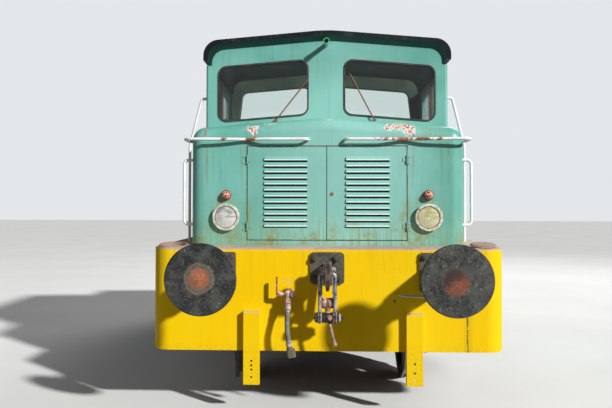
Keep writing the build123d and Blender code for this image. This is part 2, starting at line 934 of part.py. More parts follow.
# Gearbox hung between the middle cross members, with a chain case to each axle
with BuildPart() as gearbox:
    with Locations((0, 0, (gearbox_bottom + gearbox_top) / 2)):
        Box(2 * gearbox_half_width, 2 * gearbox_half_length, gearbox_top - gearbox_bottom)
    fillet(gearbox.edges().filter_by(Axis.Z), 40)
    for side in (-1, 1):
        with Locations((side * (gearbox_half_width - 50), 0, gearbox_arm_z)):
            Box(60, 2 * (stretcher_y - stretcher_thickness / 2), 100)
        case_axle = (side * axle_y, axle_height)
        case_middle = (side * axle_y / 2, (axle_height + gearbox_shaft_z) / 2)
        with BuildSketch(Plane.YZ.offset(-side * chain_case_x - chain_case_width / 2)):
            SlotCenterPoint(case_middle, case_axle, 2 * chain_case_radius)
        extrude(amount=chain_case_width)
        with BuildSketch(Plane.YZ.offset(-side * chain_case_x - chain_case_width / 2)):
            with Locations(case_axle):
                Circle(axle_radius + guard_gap)
        extrude(amount=chain_case_width, mode=Mode.SUBTRACT)
finish(gearbox, "gearbox")

# Steps below the cab doors
door_middle_y = (cab_door_y[0] + cab_door_y[1]) / 2
with BuildPart() as side_step:
    with BuildSketch(Plane.XZ.offset(-door_middle_y - step_half_width)) as cheek:
        with BuildLine():
            Polyline(
                (frame_half_width - step_depth, deck_bottom),
                (frame_half_width - step_depth + 60, step_heights[0] - 20),
                (frame_half_width, step_heights[0] - 20),
                (frame_half_width, deck_bottom),
                close=True,
            )
        make_face()
    extrude(amount=step_wall)
    with BuildSketch(Plane.XZ.offset(-door_middle_y + step_half_width)):
        with BuildLine():
            Polyline(
                (frame_half_width - step_depth, deck_bottom),
                (frame_half_width - step_depth + 60, step_heights[0] - 20),
                (frame_half_width, step_heights[0] - 20),
                (frame_half_width, deck_bottom),
                close=True,
            )
        make_face()
    extrude(amount=-step_wall)
    for height in step_heights:
        with Locations((frame_half_width - (step_depth - 60) / 2, door_middle_y, height)):
            Box(step_depth - 60, 2 * step_half_width, step_wall)
        with Locations((frame_half_width - step_wall / 2, door_middle_y, height + 16)):
            Box(step_wall, 2 * step_half_width, 36)

with BuildPart() as side_steps:
    add(side_step.part)
    mirror(about=Plane.YZ)
finish(side_steps, "side_steps")

# Fuel tank on the left, tool box on the right, air reservoir across the front end
with BuildPart() as tanks:
    for side, corner in ((-1, 60), (1, 8)):
        with BuildSketch(Plane.XZ.offset(-tank_y[1])):
            with Locations((side * (tank_x[0] + tank_x[1]) / 2, (tank_z[0] + tank_z[1]) / 2)):
                RectangleRounded(tank_x[1] - tank_x[0], tank_z[1] - tank_z[0], corner)
        extrude(amount=tank_y[1] - tank_y[0])
        for y in (tank_y[0] + 90, tank_y[1] - 90):
            with BuildSketch(Plane.XZ.offset(-y - 25)):
                with Locations((side * (tank_x[0] + tank_x[1]) / 2, (tank_z[0] + tank_z[1]) / 2)):
                    RectangleRounded(tank_x[1] - tank_x[0] + 12, tank_z[1] - tank_z[0] + 12, corner + 6)
                with Locations((side * (tank_x[0] + tank_x[1]) / 2, (tank_z[1] + deck_bottom) / 2)):
                    Rectangle(tank_x[1] - tank_x[0] - 60, deck_bottom - tank_z[1])
            extrude(amount=50)
    with Locations((0, -reservoir_y, reservoir_z)):
        Cylinder(reservoir_radius, 2 * reservoir_half_length, rotation=(0, 90, 0))
    for x in (-reservoir_half_length + 120, reservoir_half_length - 120):
        with Locations((x, -reservoir_y, (reservoir_z + deck_bottom) / 2)):
            Box(40, 160, deck_bottom - reservoir_z)
finish(tanks, "tanks")

# Buffers: base plate and housing on the beam, plunger with a large flat head
beam_face_y = -frame_half_length
with BuildPart() as buffer_housing:
    with BuildSketch(Plane.XZ.offset(frame_half_length)):
        with Locations((buffer_half_spacing, buffer_height)):
            RectangleRounded(buffer_plate_width, buffer_plate_height, 18)
    extrude(amount=buffer_plate_thickness)
    with BuildSketch(Plane.XZ.offset(frame_half_length + buffer_plate_thickness)):
        with Locations((buffer_half_spacing, buffer_height)):
            Circle(buffer_housing_radius)
    extrude(amount=buffer_housing_length - buffer_plate_thickness, taper=3.5)
    with BuildSketch(Plane.XZ.offset(frame_half_length + buffer_plate_thickness)):
        with Locations((buffer_half_spacing, buffer_height)):
            Circle(buffer_plunger_radius + 1)
    extrude(amount=buffer_housing_length, mode=Mode.SUBTRACT)

with BuildPart() as buffer_housings:
    add(four_ways(buffer_housing.part))
finish(buffer_housings, "buffer_housings")

with BuildPart() as buffer_head:
    with BuildSketch(Plane.XY) as head_half:
        with BuildLine():
            Polyline(
                (0, buffer_plate_thickness),
                (buffer_plunger_radius, buffer_plate_thickness),
                (buffer_plunger_radius, buffer_reach - buffer_head_thickness - 40),
                (buffer_plunger_radius + 48, buffer_reach - buffer_head_thickness),
                (buffer_head_radius, buffer_reach - buffer_head_thickness + 16),
                (buffer_head_radius, buffer_reach - buffer_crown - 8),
                (buffer_head_radius - 8, buffer_reach - buffer_crown),
            )
            crown_arc(buffer_head_radius - 8, buffer_reach - buffer_crown, buffer_crown)
            Line((0, buffer_reach), (0, buffer_plate_thickness))
        make_face()
    revolve(axis=Axis.Y)

with BuildPart() as front_buffer:
    with Locations(Location((buffer_half_spacing, beam_face_y, buffer_height), (180, 0, 0))):
        add(buffer_head.part)

with BuildPart() as buffer_heads:
    add(four_ways(front_buffer.part))
finish(buffer_heads, "buffer_heads")

# Draw gear: plate and hook
hook_eye_y = beam_face_y - hook_eye_reach
hook_y = beam_face_y - hook_throat_reach
hook_centre_z = draw_height - hook_drop
hook_front_y = hook_y - hook_radius
with BuildPart() as draw_hook:
    with BuildSketch(Plane.YZ.offset(-hook_width / 2)):
        with Locations((hook_y, hook_centre_z)):
            Circle(hook_radius)
        with Locations(((hook_y + beam_face_y) / 2 + 20, draw_height)):
            Rectangle(hook_throat_reach - 40, hook_shank)
        with Locations((hook_y, draw_height + 65 + hook_radius / 2)):
            Rectangle(3 * hook_radius, hook_radius, mode=Mode.SUBTRACT)
        with Locations((hook_y, draw_height + 5)):
            Circle(hook_throat, mode=Mode.SUBTRACT)
        with Locations((hook_y, draw_height + 5 + hook_radius / 2)):
            Rectangle(2 * hook_throat, hook_radius, mode=Mode.SUBTRACT)
        with Locations((hook_eye_y, draw_height)):
            Circle(coupling_pin_radius + 0.5, mode=Mode.SUBTRACT)
    extrude(amount=hook_width)
    with BuildSketch(Plane.XZ.offset(frame_half_length)):
        with BuildLine():
            Polyline(
                (-hook_tip_width / 2, hook_centre_z - hook_radius),
                (hook_tip_width / 2, hook_centre_z - hook_radius),
                (hook_width / 2, hook_centre_z - 0.2 * hook_radius),
                (hook_width / 2, draw_height + hook_radius),
                (-hook_width / 2, draw_height + hook_radius),
                (-hook_width / 2, hook_centre_z - 0.2 * hook_radius),
                close=True,
            )
        make_face()
    extrude(amount=3 * hook_radius, mode=Mode.INTERSECT)
    with BuildSketch(Plane.XY.offset(hook_centre_z - hook_radius)):
        with BuildLine():
            Polyline(
                (-hook_width / 2, beam_face_y),
                (-hook_width / 2, hook_y - 0.2 * hook_radius),
                (-hook_nose_width / 2, hook_front_y),
                (hook_nose_width / 2, hook_front_y),
                (hook_width / 2, hook_y - 0.2 * hook_radius),
                (hook_width / 2, beam_face_y),
                close=True,
            )
        make_face()
    extrude(amount=3 * hook_radius, mode=Mode.INTERSECT)
    with BuildSketch(Plane.XZ.offset(frame_half_length)):
        with Locations((0, draw_height)):
            RectangleRounded(draw_plate_width, draw_plate_height, 30)
    extrude(amount=draw_plate_thickness)

with BuildPart() as draw_gear:
    add(both_ends(draw_hook.part))
finish(draw_gear, "draw_gear")

# Screw coupling stored on its own hook
nut_y = beam_face_y - 170
foot_y = beam_face_y - 200
bow_z = draw_height + 5 - hook_throat + coupling_bar_radius + 0.5
with BuildPart() as coupling:
    with Locations((0, hook_eye_y, draw_height)):
        Cylinder(coupling_pin_radius, 2 * link_outer + 16, rotation=(0, 90, 0))
    for side in (-1, 1):
        with BuildSketch(Plane.YZ.offset(side * (link_outer + link_inner) / 2 - link_thickness / 2)):
            with BuildLine():
                Polyline(
                    (hook_eye_y - 24, draw_height + 20),
                    (hook_eye_y + 24, draw_height + 20),
                    (nut_y + 24, coupling_nut_z - 20),
                    (nut_y - 24, coupling_nut_z - 20),
                    close=True,
                )
            make_face()
        extrude(amount=link_thickness)
    with Locations((0, nut_y, coupling_nut_z)):
        Cylinder(coupling_nut_radius, 2 * link_outer, rotation=(0, 90, 0))
    add(
        bent_rod(
            [
                (0, nut_y, coupling_nut_z),
                (0, foot_y + 12, coupling_foot_z + 40),
                (0, foot_y, coupling_foot_z),
            ],
            [20],
            17,
        )
    )
    with Locations((0, foot_y, coupling_foot_z)):
        Cylinder(coupling_foot_radius, 2 * coupling_foot_half_width, rotation=(0, 90, 0))
    with Locations(((coupling_half_gap + coupling_arm_end) / 2, foot_y, coupling_foot_z)):
        Cylinder(11, coupling_arm_end - coupling_half_gap, rotation=(0, 90, 0))
    add(
        bent_rod(
            [
                (coupling_half_gap, foot_y, coupling_foot_z),
                (coupling_half_gap, hook_y, bow_z),
                (-coupling_half_gap, hook_y, bow_z),
                (-coupling_half_gap, foot_y, coupling_foot_z),
            ],
            [22, 22],
            coupling_bar_radius,
        )
    )
    add(
        bent_rod(
            [
                (12, foot_y, coupling_foot_z),
                (20, foot_y - 6, coupling_foot_z - 60),
                (coupling_lever_x, foot_y - 4, coupling_lever_z),
            ],
            [60],
            coupling_lever_radius,
        )
    )
    with Locations((coupling_lever_x, foot_y - 4, coupling_lever_z)):
        Sphere(coupling_lever_radius + 6)

with BuildPart() as screw_couplings:
    add(both_ends(coupling.part))
finish(screw_couplings, "screw_couplings")

# Brake hose route, from the cock's nipple to the coupling head, as limp runs
hose_points = [
    (-297, -2560, 816),
    (-301, -2585, 735),
    (-299, -2601, 645),
    (-285, -2593, 550),
]
hose_radii = []
for before, corner_point, after in zip(hose_points, hose_points[1:], hose_points[2:]):
    run_in = Vector(*corner_point) - Vector(*before)
    run_out = Vector(*after) - Vector(*corner_point)
    half_turn = math.radians(run_in.get_angle(run_out)) / 2
    hose_radii.append(0.45 * min(run_in.length, run_out.length) / math.tan(half_turn))
print("hose radii", [round(radius) for radius in hose_radii])

hose_start = Vector(*hose_points[0])
hose_start_way = (Vector(*hose_points[1]) - hose_start).normalized()
hose_end = Vector(*hose_points[-1])
hose_end_way = (hose_end - Vector(*hose_points[-2])).normalized()

with BuildPart() as brake_hose:
    add(bent_rod(hose_points, hose_radii, hose_radius))
hose_length = FilletPolyline(*hose_points, radius=hose_radii).length
hose_solid = math.pi * hose_radius**2 * hose_length
print("hose length", round(hose_length), "volume ratio", round(brake_hose.part.volume / hose_solid, 4))
finish(brake_hose, "brake_hose")

with BuildPart() as hose_coupling:
    with BuildSketch(Plane(origin=hose_end, z_dir=hose_end_way)):
        Circle(hose_radius + 4)
    extrude(amount=40)
    with BuildSketch(Plane(origin=hose_end + hose_end_way * 40, x_dir=(1, 0, 0), z_dir=hose_end_way)):
        with Locations((6, 0)):
            RectangleRounded(64, 42, 14)
    extrude(amount=58)
finish(hose_coupling, "hose_coupling")

# Brake pipe cocks on the beams
cock_centre = hose_start - hose_start_way * cock_nipple
cock_cap_way = Vector(0.8, -0.6, 0)
with BuildPart() as cock:
    with BuildSketch(Plane.XZ.offset(frame_half_length)):
        with Locations((cock_centre.X, cock_centre.Z)):
            Circle(36)
    extrude(amount=10)
    with BuildSketch(Plane.XZ.offset(frame_half_length)):
        with Locations((cock_centre.X, cock_centre.Z)):
            Circle(cock_pipe_radius)
    extrude(amount=-cock_centre.Y - frame_half_length)
    with Locations((cock_centre.X, cock_centre.Y, cock_centre.Z)):
        Sphere(cock_radius)
    with BuildSketch(Plane(origin=cock_centre, z_dir=hose_start_way)):
        Circle(cock_pipe_radius)
    extrude(amount=cock_nipple)
    with BuildSketch(
        Plane(
            origin=cock_centre + hose_start_way * cock_nut_span[0],
            x_dir=(1, 0, 0),
            z_dir=hose_start_way,
        )
    ):
        RegularPolygon(cock_nut_radius, 6)
    extrude(amount=cock_nut_span[1] - cock_nut_span[0])
    with BuildSketch(Plane(origin=cock_centre, z_dir=cock_cap_way)):
        Circle(cock_stem_radius)
    extrude(amount=cock_cap_span[1])
    with BuildSketch(Plane(origin=cock_centre + cock_cap_way * cock_cap_span[0], z_dir=cock_cap_way)):
        Circle(cock_cap_radius)
    extrude(amount=cock_cap_span[1] - cock_cap_span[0])
    with BuildSketch(Plane.YZ.offset(cock_centre.X - cock_boss_span[0])):
        with Locations((cock_centre.Y, cock_centre.Z)):
            Circle(cock_stem_radius)
    extrude(amount=cock_boss_span[0] - cock_boss_span[1])
    with BuildSketch(Plane.YZ.offset(cock_centre.X)):
        with Locations((cock_centre.Y, cock_centre.Z)):
            Circle(10)
    extrude(amount=-cock_spindle)
    with BuildSketch(Plane.YZ.offset(cock_centre.X - cock_spindle + 12)):
        with Locations((cock_centre.Y, cock_centre.Z + cock_lever / 2 - 8)):
            SlotOverall(cock_lever, 24, rotation=90)
    extrude(amount=-12)

with BuildPart() as brake_cocks:
    add(both_ends(cock.part))
finish(brake_cocks, "brake_cocks")

# Shunter's grab rods below the right buffers
with BuildPart() as grab_rods:
    add(
        both_ends(
            bent_rod(
                [
                    (grab_x[0], beam_face_y, grab_z),
                    (grab_x[0], beam_face_y - grab_stand, grab_z),
                    (grab_x[1], beam_face_y - grab_stand, grab_z - 8),
                    (grab_x[1], beam_face_y, grab_z - 8),
                ],
                [30, 30],
                grab_radius,
            )
        )
    )
finish(grab_rods, "grab_rods")

# Hoods
leaf_width = (2 * end_door_half - 3 * door_gap) / 2
side_leaf_width = (side_door_width - 3 * door_gap) / 2
end_pins = frame_knuckles(end_door_height)
pin_x = end_door_half - door_gap / 2
pin_y = -hood_face_y - knuckle_stand

with BuildPart() as short_hood:
    with Locations((0, -hood_face_y, 0)):
        add(hood_shell(hood_face_y + cab_front_y))
    with Locations((0, -hood_face_y + hood_wall / 2, end_door_bottom + end_door_height / 2)):
        Box(2 * end_door_half, 3 * hood_wall, end_door_height + 2 * door_gap, mode=Mode.SUBTRACT)
    with Locations((0, -hood_face_y + hood_wall, end_door_bottom)):
        add(door_stop(2 * end_door_half))
    with Locations((-pin_x, pin_y, end_door_bottom)):
        add(end_pins)
    mirror(about=Plane.YZ)
finish(short_hood, "short_hood")

side_middle_y = side_door_start + side_door_width / 2
with BuildPart() as long_hood:
    with Locations(Location((0, hood_face_y, 0), (0, 0, 180))):
        add(hood_shell(hood_face_y - cab_rear_y))
    with Locations((0, side_middle_y, end_door_bottom + end_door_height / 2)):
        Box(3 * hood_half_width, side_door_width, end_door_height + 2 * door_gap, mode=Mode.SUBTRACT)
    with Locations(Location((hood_half_width - hood_wall, side_middle_y, end_door_bottom), (0, 0, 90))):
        add(door_stop(side_door_width))
    for x in (-end_door_half / 2 - louvre_shift, end_door_half / 2 + louvre_shift):
        for index in range(louvre_count):
            top = end_door_bottom + end_door_height - louvre_first - louvre_pitch * index
            with Locations((x, hood_face_y - hood_wall / 2, top - louvre_drop / 2 - louvre_skin)):
                Box(
                    louvre_width - 2 * louvre_skin,
                    2 * hood_wall,
                    louvre_drop - 3 * louvre_skin,
                    mode=Mode.SUBTRACT,
                )
            with Locations(Location((x, hood_face_y, top), (0, 0, 180))):
                add(louvre_hood())
    for way, y in ((1, side_door_start), (-1, side_door_start + side_door_width)):
        pins = end_pins if way > 0 else mirror(end_pins, about=Plane.YZ, mode=Mode.PRIVATE)
        with Locations(
            Location((hood_half_width + knuckle_stand, y + way * door_gap / 2, end_door_bottom), (0, 0, 90))
        ):
            add(pins)
    mirror(about=Plane.YZ)
finish(long_hood, "long_hood")

left_leaf = hood_door(leaf_width, False)
right_leaf = mirror(hood_door(leaf_width, True), about=Plane.YZ)
for name, leaf, x in (
    ("left_front_door", left_leaf, -pin_x),
    ("right_front_door", right_leaf, pin_x),
):
    with BuildPart() as door:
        with Locations((x, pin_y, end_door_bottom)):
            add(leaf)
    finish(door, name)

fore_leaf = hood_door(side_leaf_width, False)
aft_leaf = mirror(hood_door(side_leaf_width, True), about=Plane.YZ)
side_pin_x = hood_half_width + knuckle_stand
fore_pin_y = side_door_start + door_gap / 2
aft_pin_y = side_door_start + side_door_width - door_gap / 2
for name, leaf, y in (("fore", fore_leaf, fore_pin_y), ("aft", aft_leaf, aft_pin_y)):
    with BuildPart() as right_door:
        with Locations(Location((side_pin_x, y, end_door_bottom), (0, 0, 90))):
            add(leaf)
    finish(right_door, "right_" + name + "_door")
    with BuildPart() as left_door:
        add(mirror(right_door.part, about=Plane.YZ))
    finish(left_door, "left_" + name + "_door")

# Cab end walls with two slanting windows each, their upright corners rounded
cab_middle_y = (cab_front_y + cab_rear_y) / 2
end_plane = Plane.XZ.offset(-cab_middle_y)


def end_wall(window):
    """End wall in the front one's place, with the given window on both sides."""
    with BuildPart() as wall:
        with BuildSketch(Plane.XZ.offset(-cab_front_y - cab_wall)):
            with Locations((0, (deck_top + roof_leg_bottom) / 2)):
                Rectangle(2 * cab_half_width, roof_leg_bottom - deck_top)
        extrude(amount=cab_wall)
        corners = wall.edges().filter_by(Axis.Z).group_by(Axis.Y)[0]
        fillet(corners, cab_corner_radius)
        with BuildSketch(Plane.XZ.offset(-cab_front_y - cab_wall)):
            add(
                cross_section(
                    roof_side - roof_thickness - roof_seat_gap,
                    roof_peak - roof_thickness - roof_seat_gap,
                    roof_leg_bottom - cab_wall,
                    roof_inner_radius,
                    roof_slope,
                )
            )
        extrude(amount=cab_wall)
        with BuildSketch(Plane.XZ.offset(-cab_front_y - cab_wall)):
            add(window_outline(window, 0))
            add(mirror(window_outline(window, 0), about=Plane.YZ, mode=Mode.PRIVATE))
        extrude(amount=cab_wall, mode=Mode.SUBTRACT)
    return wall.part


with BuildPart() as cab_end_walls:
    add(end_wall(front_window))
    add(mirror(end_wall(rear_window), about=end_plane, mode=Mode.PRIVATE))
finish(cab_end_walls, "cab_end_walls")

# Cab side walls with a window and a doorway
cab_pin_y = cab_door_y[0] + cab_door_gap / 2
cab_pin_x = cab_half_width + knuckle_stand
cab_door_height = cab_door_z[1] - cab_door_z[0] - 2 * cab_door_gap
with BuildPart() as cab_side_walls:
    with BuildSketch(Plane.YZ.offset(cab_half_width - cab_wall)):
        with Locations((cab_middle_y, (deck_top + roof_leg_bottom) / 2)):
            Rectangle(cab_rear_y - cab_front_y - 2 * cab_wall, roof_leg_bottom - deck_top)
        add(side_outline(side_window_y, side_window_z, 0), mode=Mode.SUBTRACT)
        with Locations((door_middle_y, (cab_door_z[0] + cab_door_z[1]) / 2)):
            Rectangle(cab_door_y[1] - cab_door_y[0], cab_door_z[1] - cab_door_z[0], mode=Mode.SUBTRACT)
    extrude(amount=cab_wall)
    with Locations(Location((cab_pin_x, cab_pin_y, cab_door_z[0] + cab_door_gap), (0, 0, 90))):
        add(frame_knuckles(cab_door_height))
    mirror(about=Plane.YZ)
finish(cab_side_walls, "cab_side_walls")

# Cab doors, as thick as the wall, each with its pane
door_window_y = (cab_door_y[0] + cab_door_window_margin, cab_door_y[1] - cab_door_window_margin)
with BuildPart() as right_cab_door:
    with BuildSketch(Plane.YZ.offset(cab_half_width - cab_wall)):
        with Locations((door_middle_y, (cab_door_z[0] + cab_door_z[1]) / 2)):
            Rectangle(cab_door_y[1] - cab_door_y[0] - 2 * cab_door_gap, cab_door_height)
        add(side_outline(door_window_y, cab_door_window_z, 0), mode=Mode.SUBTRACT)
    extrude(amount=cab_wall)
    with Locations(Location((cab_pin_x, cab_pin_y, cab_door_z[0] + cab_door_gap), (0, 0, 90))):
        add(leaf_knuckles(cab_door_height))
    with Locations((cab_half_width + 20, cab_door_y[1] - 80, door_handle_z)):
        Box(40, 24, 24)
    with Locations((cab_half_width + 32, cab_door_y[1] - 125, door_handle_z)):
        Box(16, 130, 24)
finish(right_cab_door, "right_cab_door")

with BuildPart() as left_cab_door:
    add(mirror(right_cab_door.part, about=Plane.YZ))
finish(left_cab_door, "left_cab_door")

with BuildPart() as right_door_glass:
    with BuildSketch(Plane.YZ.offset(cab_half_width - pane_inset - glass_thickness)):
        add(side_outline(door_window_y, cab_door_window_z, -pane_gap))
    extrude(amount=glass_thickness)
finish(right_door_glass, "right_door_glass")

with BuildPart() as left_door_glass:
    add(mirror(right_door_glass.part, about=Plane.YZ))
finish(left_door_glass, "left_door_glass")

# Fixed panes
def end_panes(window):
    """Both panes of an end wall in the front one's place."""
    with BuildPart() as panes:
        with BuildSketch(Plane.XZ.offset(-cab_front_y - pane_inset - glass_thickness)):
            add(window_outline(window, -pane_gap))
        extrude(amount=glass_thickness)
        mirror(about=Plane.YZ)
    return panes.part


with BuildPart() as window_glass:
    add(end_panes(front_window))
    add(mirror(end_panes(rear_window), about=end_plane, mode=Mode.PRIVATE))
    for side in (-1, 1):
        with BuildSketch(Plane.YZ.offset(side * (cab_half_width - pane_inset - glass_thickness / 2))):
            add(side_outline(side_window_y, side_window_z, -pane_gap))
        extrude(amount=glass_thickness / 2, both=True)
finish(window_glass, "window_glass")


# Rubber seals: a lip on the wall round each fixed pane and a tongue back to the pane
def end_seals(window):
    """Both seals of an end wall in the front one's place."""
    with BuildPart() as seals:
        for outer, stand, depth in (
            (seal_width - seal_cover, 0, seal_stand),
            (-pane_gap, pane_inset, pane_inset),
        ):
            with BuildSketch(Plane.XZ.offset(-cab_front_y - stand)):
                add(window_outline(window, outer))
                add(window_outline(window, -seal_cover), mode=Mode.SUBTRACT)
            extrude(amount=depth)
        mirror(about=Plane.YZ)
    return seals.part


with BuildPart() as side_seal:
    for outer, stand, depth in (
        (seal_width - seal_cover, 0, seal_stand),
        (-pane_gap, pane_inset, pane_inset),
    ):
        with BuildSketch(Plane.YZ.offset(cab_half_width - stand)):
            add(side_outline(side_window_y, side_window_z, outer))
            add(side_outline(side_window_y, side_window_z, -seal_cover), mode=Mode.SUBTRACT)
        extrude(amount=depth)

with BuildPart() as window_seals:
    add(end_seals(front_window))
    add(mirror(end_seals(rear_window), about=end_plane, mode=Mode.PRIVATE))
    add(side_seal.part)
    add(mirror(side_seal.part, about=Plane.YZ, mode=Mode.PRIVATE))
finish(window_seals, "window_seals")

# Roof: one bent sheet, a little narrower than the cab and well proud of both ends
with BuildPart() as cab_roof:
    with BuildSketch(Plane.XZ.offset(-cab_rear_y - roof_overhang)):
        add(cross_section(roof_side, roof_peak, roof_leg_bottom, roof_corner_radius, roof_slope))
        add(
            cross_section(
                roof_side - roof_thickness,
                roof_peak - roof_thickness,
                roof_leg_bottom - roof_thickness,
                roof_inner_radius,
                roof_slope,
            ),
            mode=Mode.SUBTRACT,
        )
    extrude(amount=cab_rear_y - cab_front_y + 2 * roof_overhang)
finish(cab_roof, "cab_roof")

# Lamps on both ends
with BuildPart() as lamp:
    with BuildSketch(Plane.XY):
        with BuildLine():
            Polyline(
                (0, 0),
                (headlamp_radius - 14, 0),
                (headlamp_radius, headlamp_depth - 14),
                (headlamp_radius, headlamp_depth - 4),
                (headlamp_radius - 5, headlamp_depth),
                (lens_radius + 3, headlamp_depth),
                (lens_radius + 1, headlamp_depth - 12),
                (0, headlamp_depth - 12),
                close=True,
            )
        make_face()
    revolve(axis=Axis.Y)

with BuildPart() as lens:
    with BuildSketch(Plane.XY):
        with BuildLine():
            Line((0, headlamp_depth - 12), (lens_radius, headlamp_depth - 12))
            Line((lens_radius, headlamp_depth - 12), (lens_radius, headlamp_depth - 8))
            crown_arc(lens_radius, headlamp_depth - 8, lens_crown)
            Line((0, headlamp_depth - 8 + lens_crown), (0, headlamp_depth - 12))
        make_face()
    revolve(axis=Axis.Y)

with BuildPart() as marker:
    with BuildSketch(Plane.XY):
        with BuildLine():
            Polyline(
                (0, 0),
                (marker_radius, 0),
                (marker_radius, 16),
                (marker_radius - 6, 20),
                (marker_radius - 6, 34),
            )
            crown_arc(marker_radius - 6, 34, marker_depth - 34)
            Line((0, marker_depth), (0, 0))
        make_face()
    revolve(axis=Axis.Y)

for name, piece, height in (
    ("headlamp_rims", lamp.part, headlamp_z),
    ("headlamp_lenses", lens.part, headlamp_z),
    ("marker_lamps", marker.part, marker_z),
):
    with BuildPart() as front_piece:
        with Locations(Location((headlamp_x, -hood_face_y, height), (180, 0, 0))):
            add(piece)
    with BuildPart() as lamps:
        add(four_ways(front_piece.part))
    finish(lamps, name)

# Wavy white grab bars across the hood ends
bar_points = [
    (bar_inner_x, -hood_face_y, bar_z),
    (bar_inner_x, -hood_face_y - 58, bar_z),
    (480, -hood_face_y - 60, bar_z),
    (640, -hood_face_y - 24, bar_z),
    (820, -hood_face_y - 56, bar_z),
    (bar_outer_x, -hood_face_y - 72, bar_z),
    (bar_outer_x, -hood_face_y + 175, bar_z),
    (hood_half_width, -hood_face_y + 175, bar_z),
]
with BuildPart() as grab_bars:
    add(four_ways(bent_rod(bar_points, [38, 300, 160, 300, 55, 30], rail_radius)))
finish(grab_bars, "grab_bars")

# Upright rails on the hood sides, and stanchions that lean in to the cab
side_rail = bent_rod(
    [
        (hood_half_width, -side_rail_y, side_rail_z[1]),
        (hood_half_width + side_rail_stand, -side_rail_y, side_rail_z[1]),
        (hood_half_width + side_rail_stand, -side_rail_y, side_rail_z[0]),
        (hood_half_width, -side_rail_y, side_rail_z[0]),
    ],
    [38, 38],
    rail_radius,
)
with BuildPart() as side_rails:
    add(four_ways(side_rail))
    for y in stanchion_y:
        stanchion = bent_rod(
            [
                (stanchion_x, y, deck_top),
                (stanchion_x, y, stanchion_knee),
                (cab_half_width + stanchion_stand, y, stanchion_top),
                (cab_half_width, y, stanchion_top),
            ],
            [90, 28],
            rail_radius,
        )
        add(stanchion)
        add(mirror(stanchion, about=Plane.YZ, mode=Mode.PRIVATE))
finish(side_rails, "side_rails")

# Wipers of the front windows, each a pivot boss, an arm and a blade
with BuildPart() as wipers:
    for pivot, tip in wiper_lines:
        start = Vector(pivot[0], cab_front_y - wiper_stand, rail_top + pivot[1])
        end = Vector(tip[0], cab_front_y - wiper_stand, rail_top + tip[1])
        middle = start + (end - start) * 0.42
        with BuildSketch(Plane.XZ.offset(-cab_front_y)):
            with Locations((start.X, start.Z)):
                Circle(14)
        extrude(amount=wiper_stand + 8)
        with BuildSketch(Plane(origin=start, z_dir=(end - start))):
            Circle(6)
        extrude(amount=(end - start).length)
        with BuildSketch(Plane(origin=middle, x_dir=(0, 1, 0), z_dir=(end - start))):
            with Locations((6, 0)):
                Rectangle(18, 8)
        extrude(amount=(end - middle).length + 20)
finish(wipers, "wipers")

# Horn under the front overhang of the roof
with BuildPart() as horn:
    with BuildSketch(Plane.YZ):
        with BuildLine():
            Polyline(
                (cab_front_y, horn_z),
                (cab_front_y, horn_z + horn_tube_radius),
                (cab_front_y - 0.55 * horn_length, horn_z + horn_tube_radius),
            )
            ThreePointArc(
                (cab_front_y - 0.55 * horn_length, horn_z + horn_tube_radius),
                (cab_front_y - 0.8 * horn_length, horn_z + horn_tube_radius + 1.5),
                (cab_front_y - horn_length, horn_z + horn_radius),
            )
            Polyline(
                (cab_front_y - horn_length, horn_z + horn_radius),
                (cab_front_y - horn_length, horn_z + horn_radius - horn_wall),
                (cab_front_y - 0.6 * horn_length, horn_z + horn_tube_radius - horn_wall),
                (cab_front_y - 0.4 * horn_length, horn_z + horn_tube_radius - horn_wall),
                (cab_front_y - 0.4 * horn_length, horn_z),
                (cab_front_y, horn_z),
            )
        make_face()
    revolve(axis=Axis((0, 0, horn_z), (0, 1, 0)))
finish(horn, "horn")

# Exhaust stack on the long hood
with BuildPart() as exhaust:
    with BuildSketch(Plane.XY.offset(hood_peak - exhaust_sink)):
        with Locations((0, exhaust_y)):
            Circle(exhaust_radius + 34)
    extrude(amount=2 * exhaust_sink)
    with Locations(Location((0, hood_face_y, 0), (0, 0, 180))):
        add(
            hood_form(hood_half_width, hood_peak, deck_top, hood_corner_radius, hood_face_y - cab_rear_y),
            mode=Mode.SUBTRACT,
        )
    with BuildSketch(Plane.XY.offset(hood_peak)):
        with Locations((0, exhaust_y)):
            Circle(exhaust_radius)
    extrude(amount=exhaust_height)
    with BuildSketch(Plane.XY.offset(hood_peak + exhaust_height)):
        with Locations((0, exhaust_y)):
            Circle(exhaust_radius - 6)
    extrude(amount=-exhaust_height + 40, mode=Mode.SUBTRACT)
finish(exhaust, "exhaust")

# Engine and batteries as plain blocks
with BuildPart() as engine_block:
    with Locations((0, (engine_y[0] + engine_y[1]) / 2, (bearer_top + engine_top) / 2)):
        Box(2 * engine_half_width, engine_y[1] - engine_y[0], engine_top - bearer_top)
    chamfer(engine_block.edges().filter_by(Axis.Y).sort_by(Axis.Z)[-2:], 90)
finish(engine_block, "engine_block")

with BuildPart() as battery_block:
    with Locations((0, battery_y, deck_top + battery_height / 2)):
        Box(battery_width, battery_depth, battery_height)
finish(battery_block, "battery_block")

# Control desk and driver's seat
with BuildPart() as control_desk:
    with BuildSketch(Plane.YZ.offset(-desk_half_width)):
        with BuildLine():
            Polyline(
                (cab_front_y + cab_wall, deck_top),
                (cab_front_y + cab_wall, deck_top + desk_height),
                (cab_front_y + cab_wall + 120, deck_top + desk_height),
                (cab_front_y + cab_wall + desk_depth, deck_top + desk_height - 130),
                (cab_front_y + cab_wall + desk_depth, deck_top + desk_height - 260),
                (cab_front_y + cab_wall + desk_depth - 120, deck_top + desk_height - 300),
                (cab_front_y + cab_wall + desk_depth - 120, deck_top),
                close=True,
            )
        make_face()
    extrude(amount=2 * desk_half_width)
finish(control_desk, "control_desk")

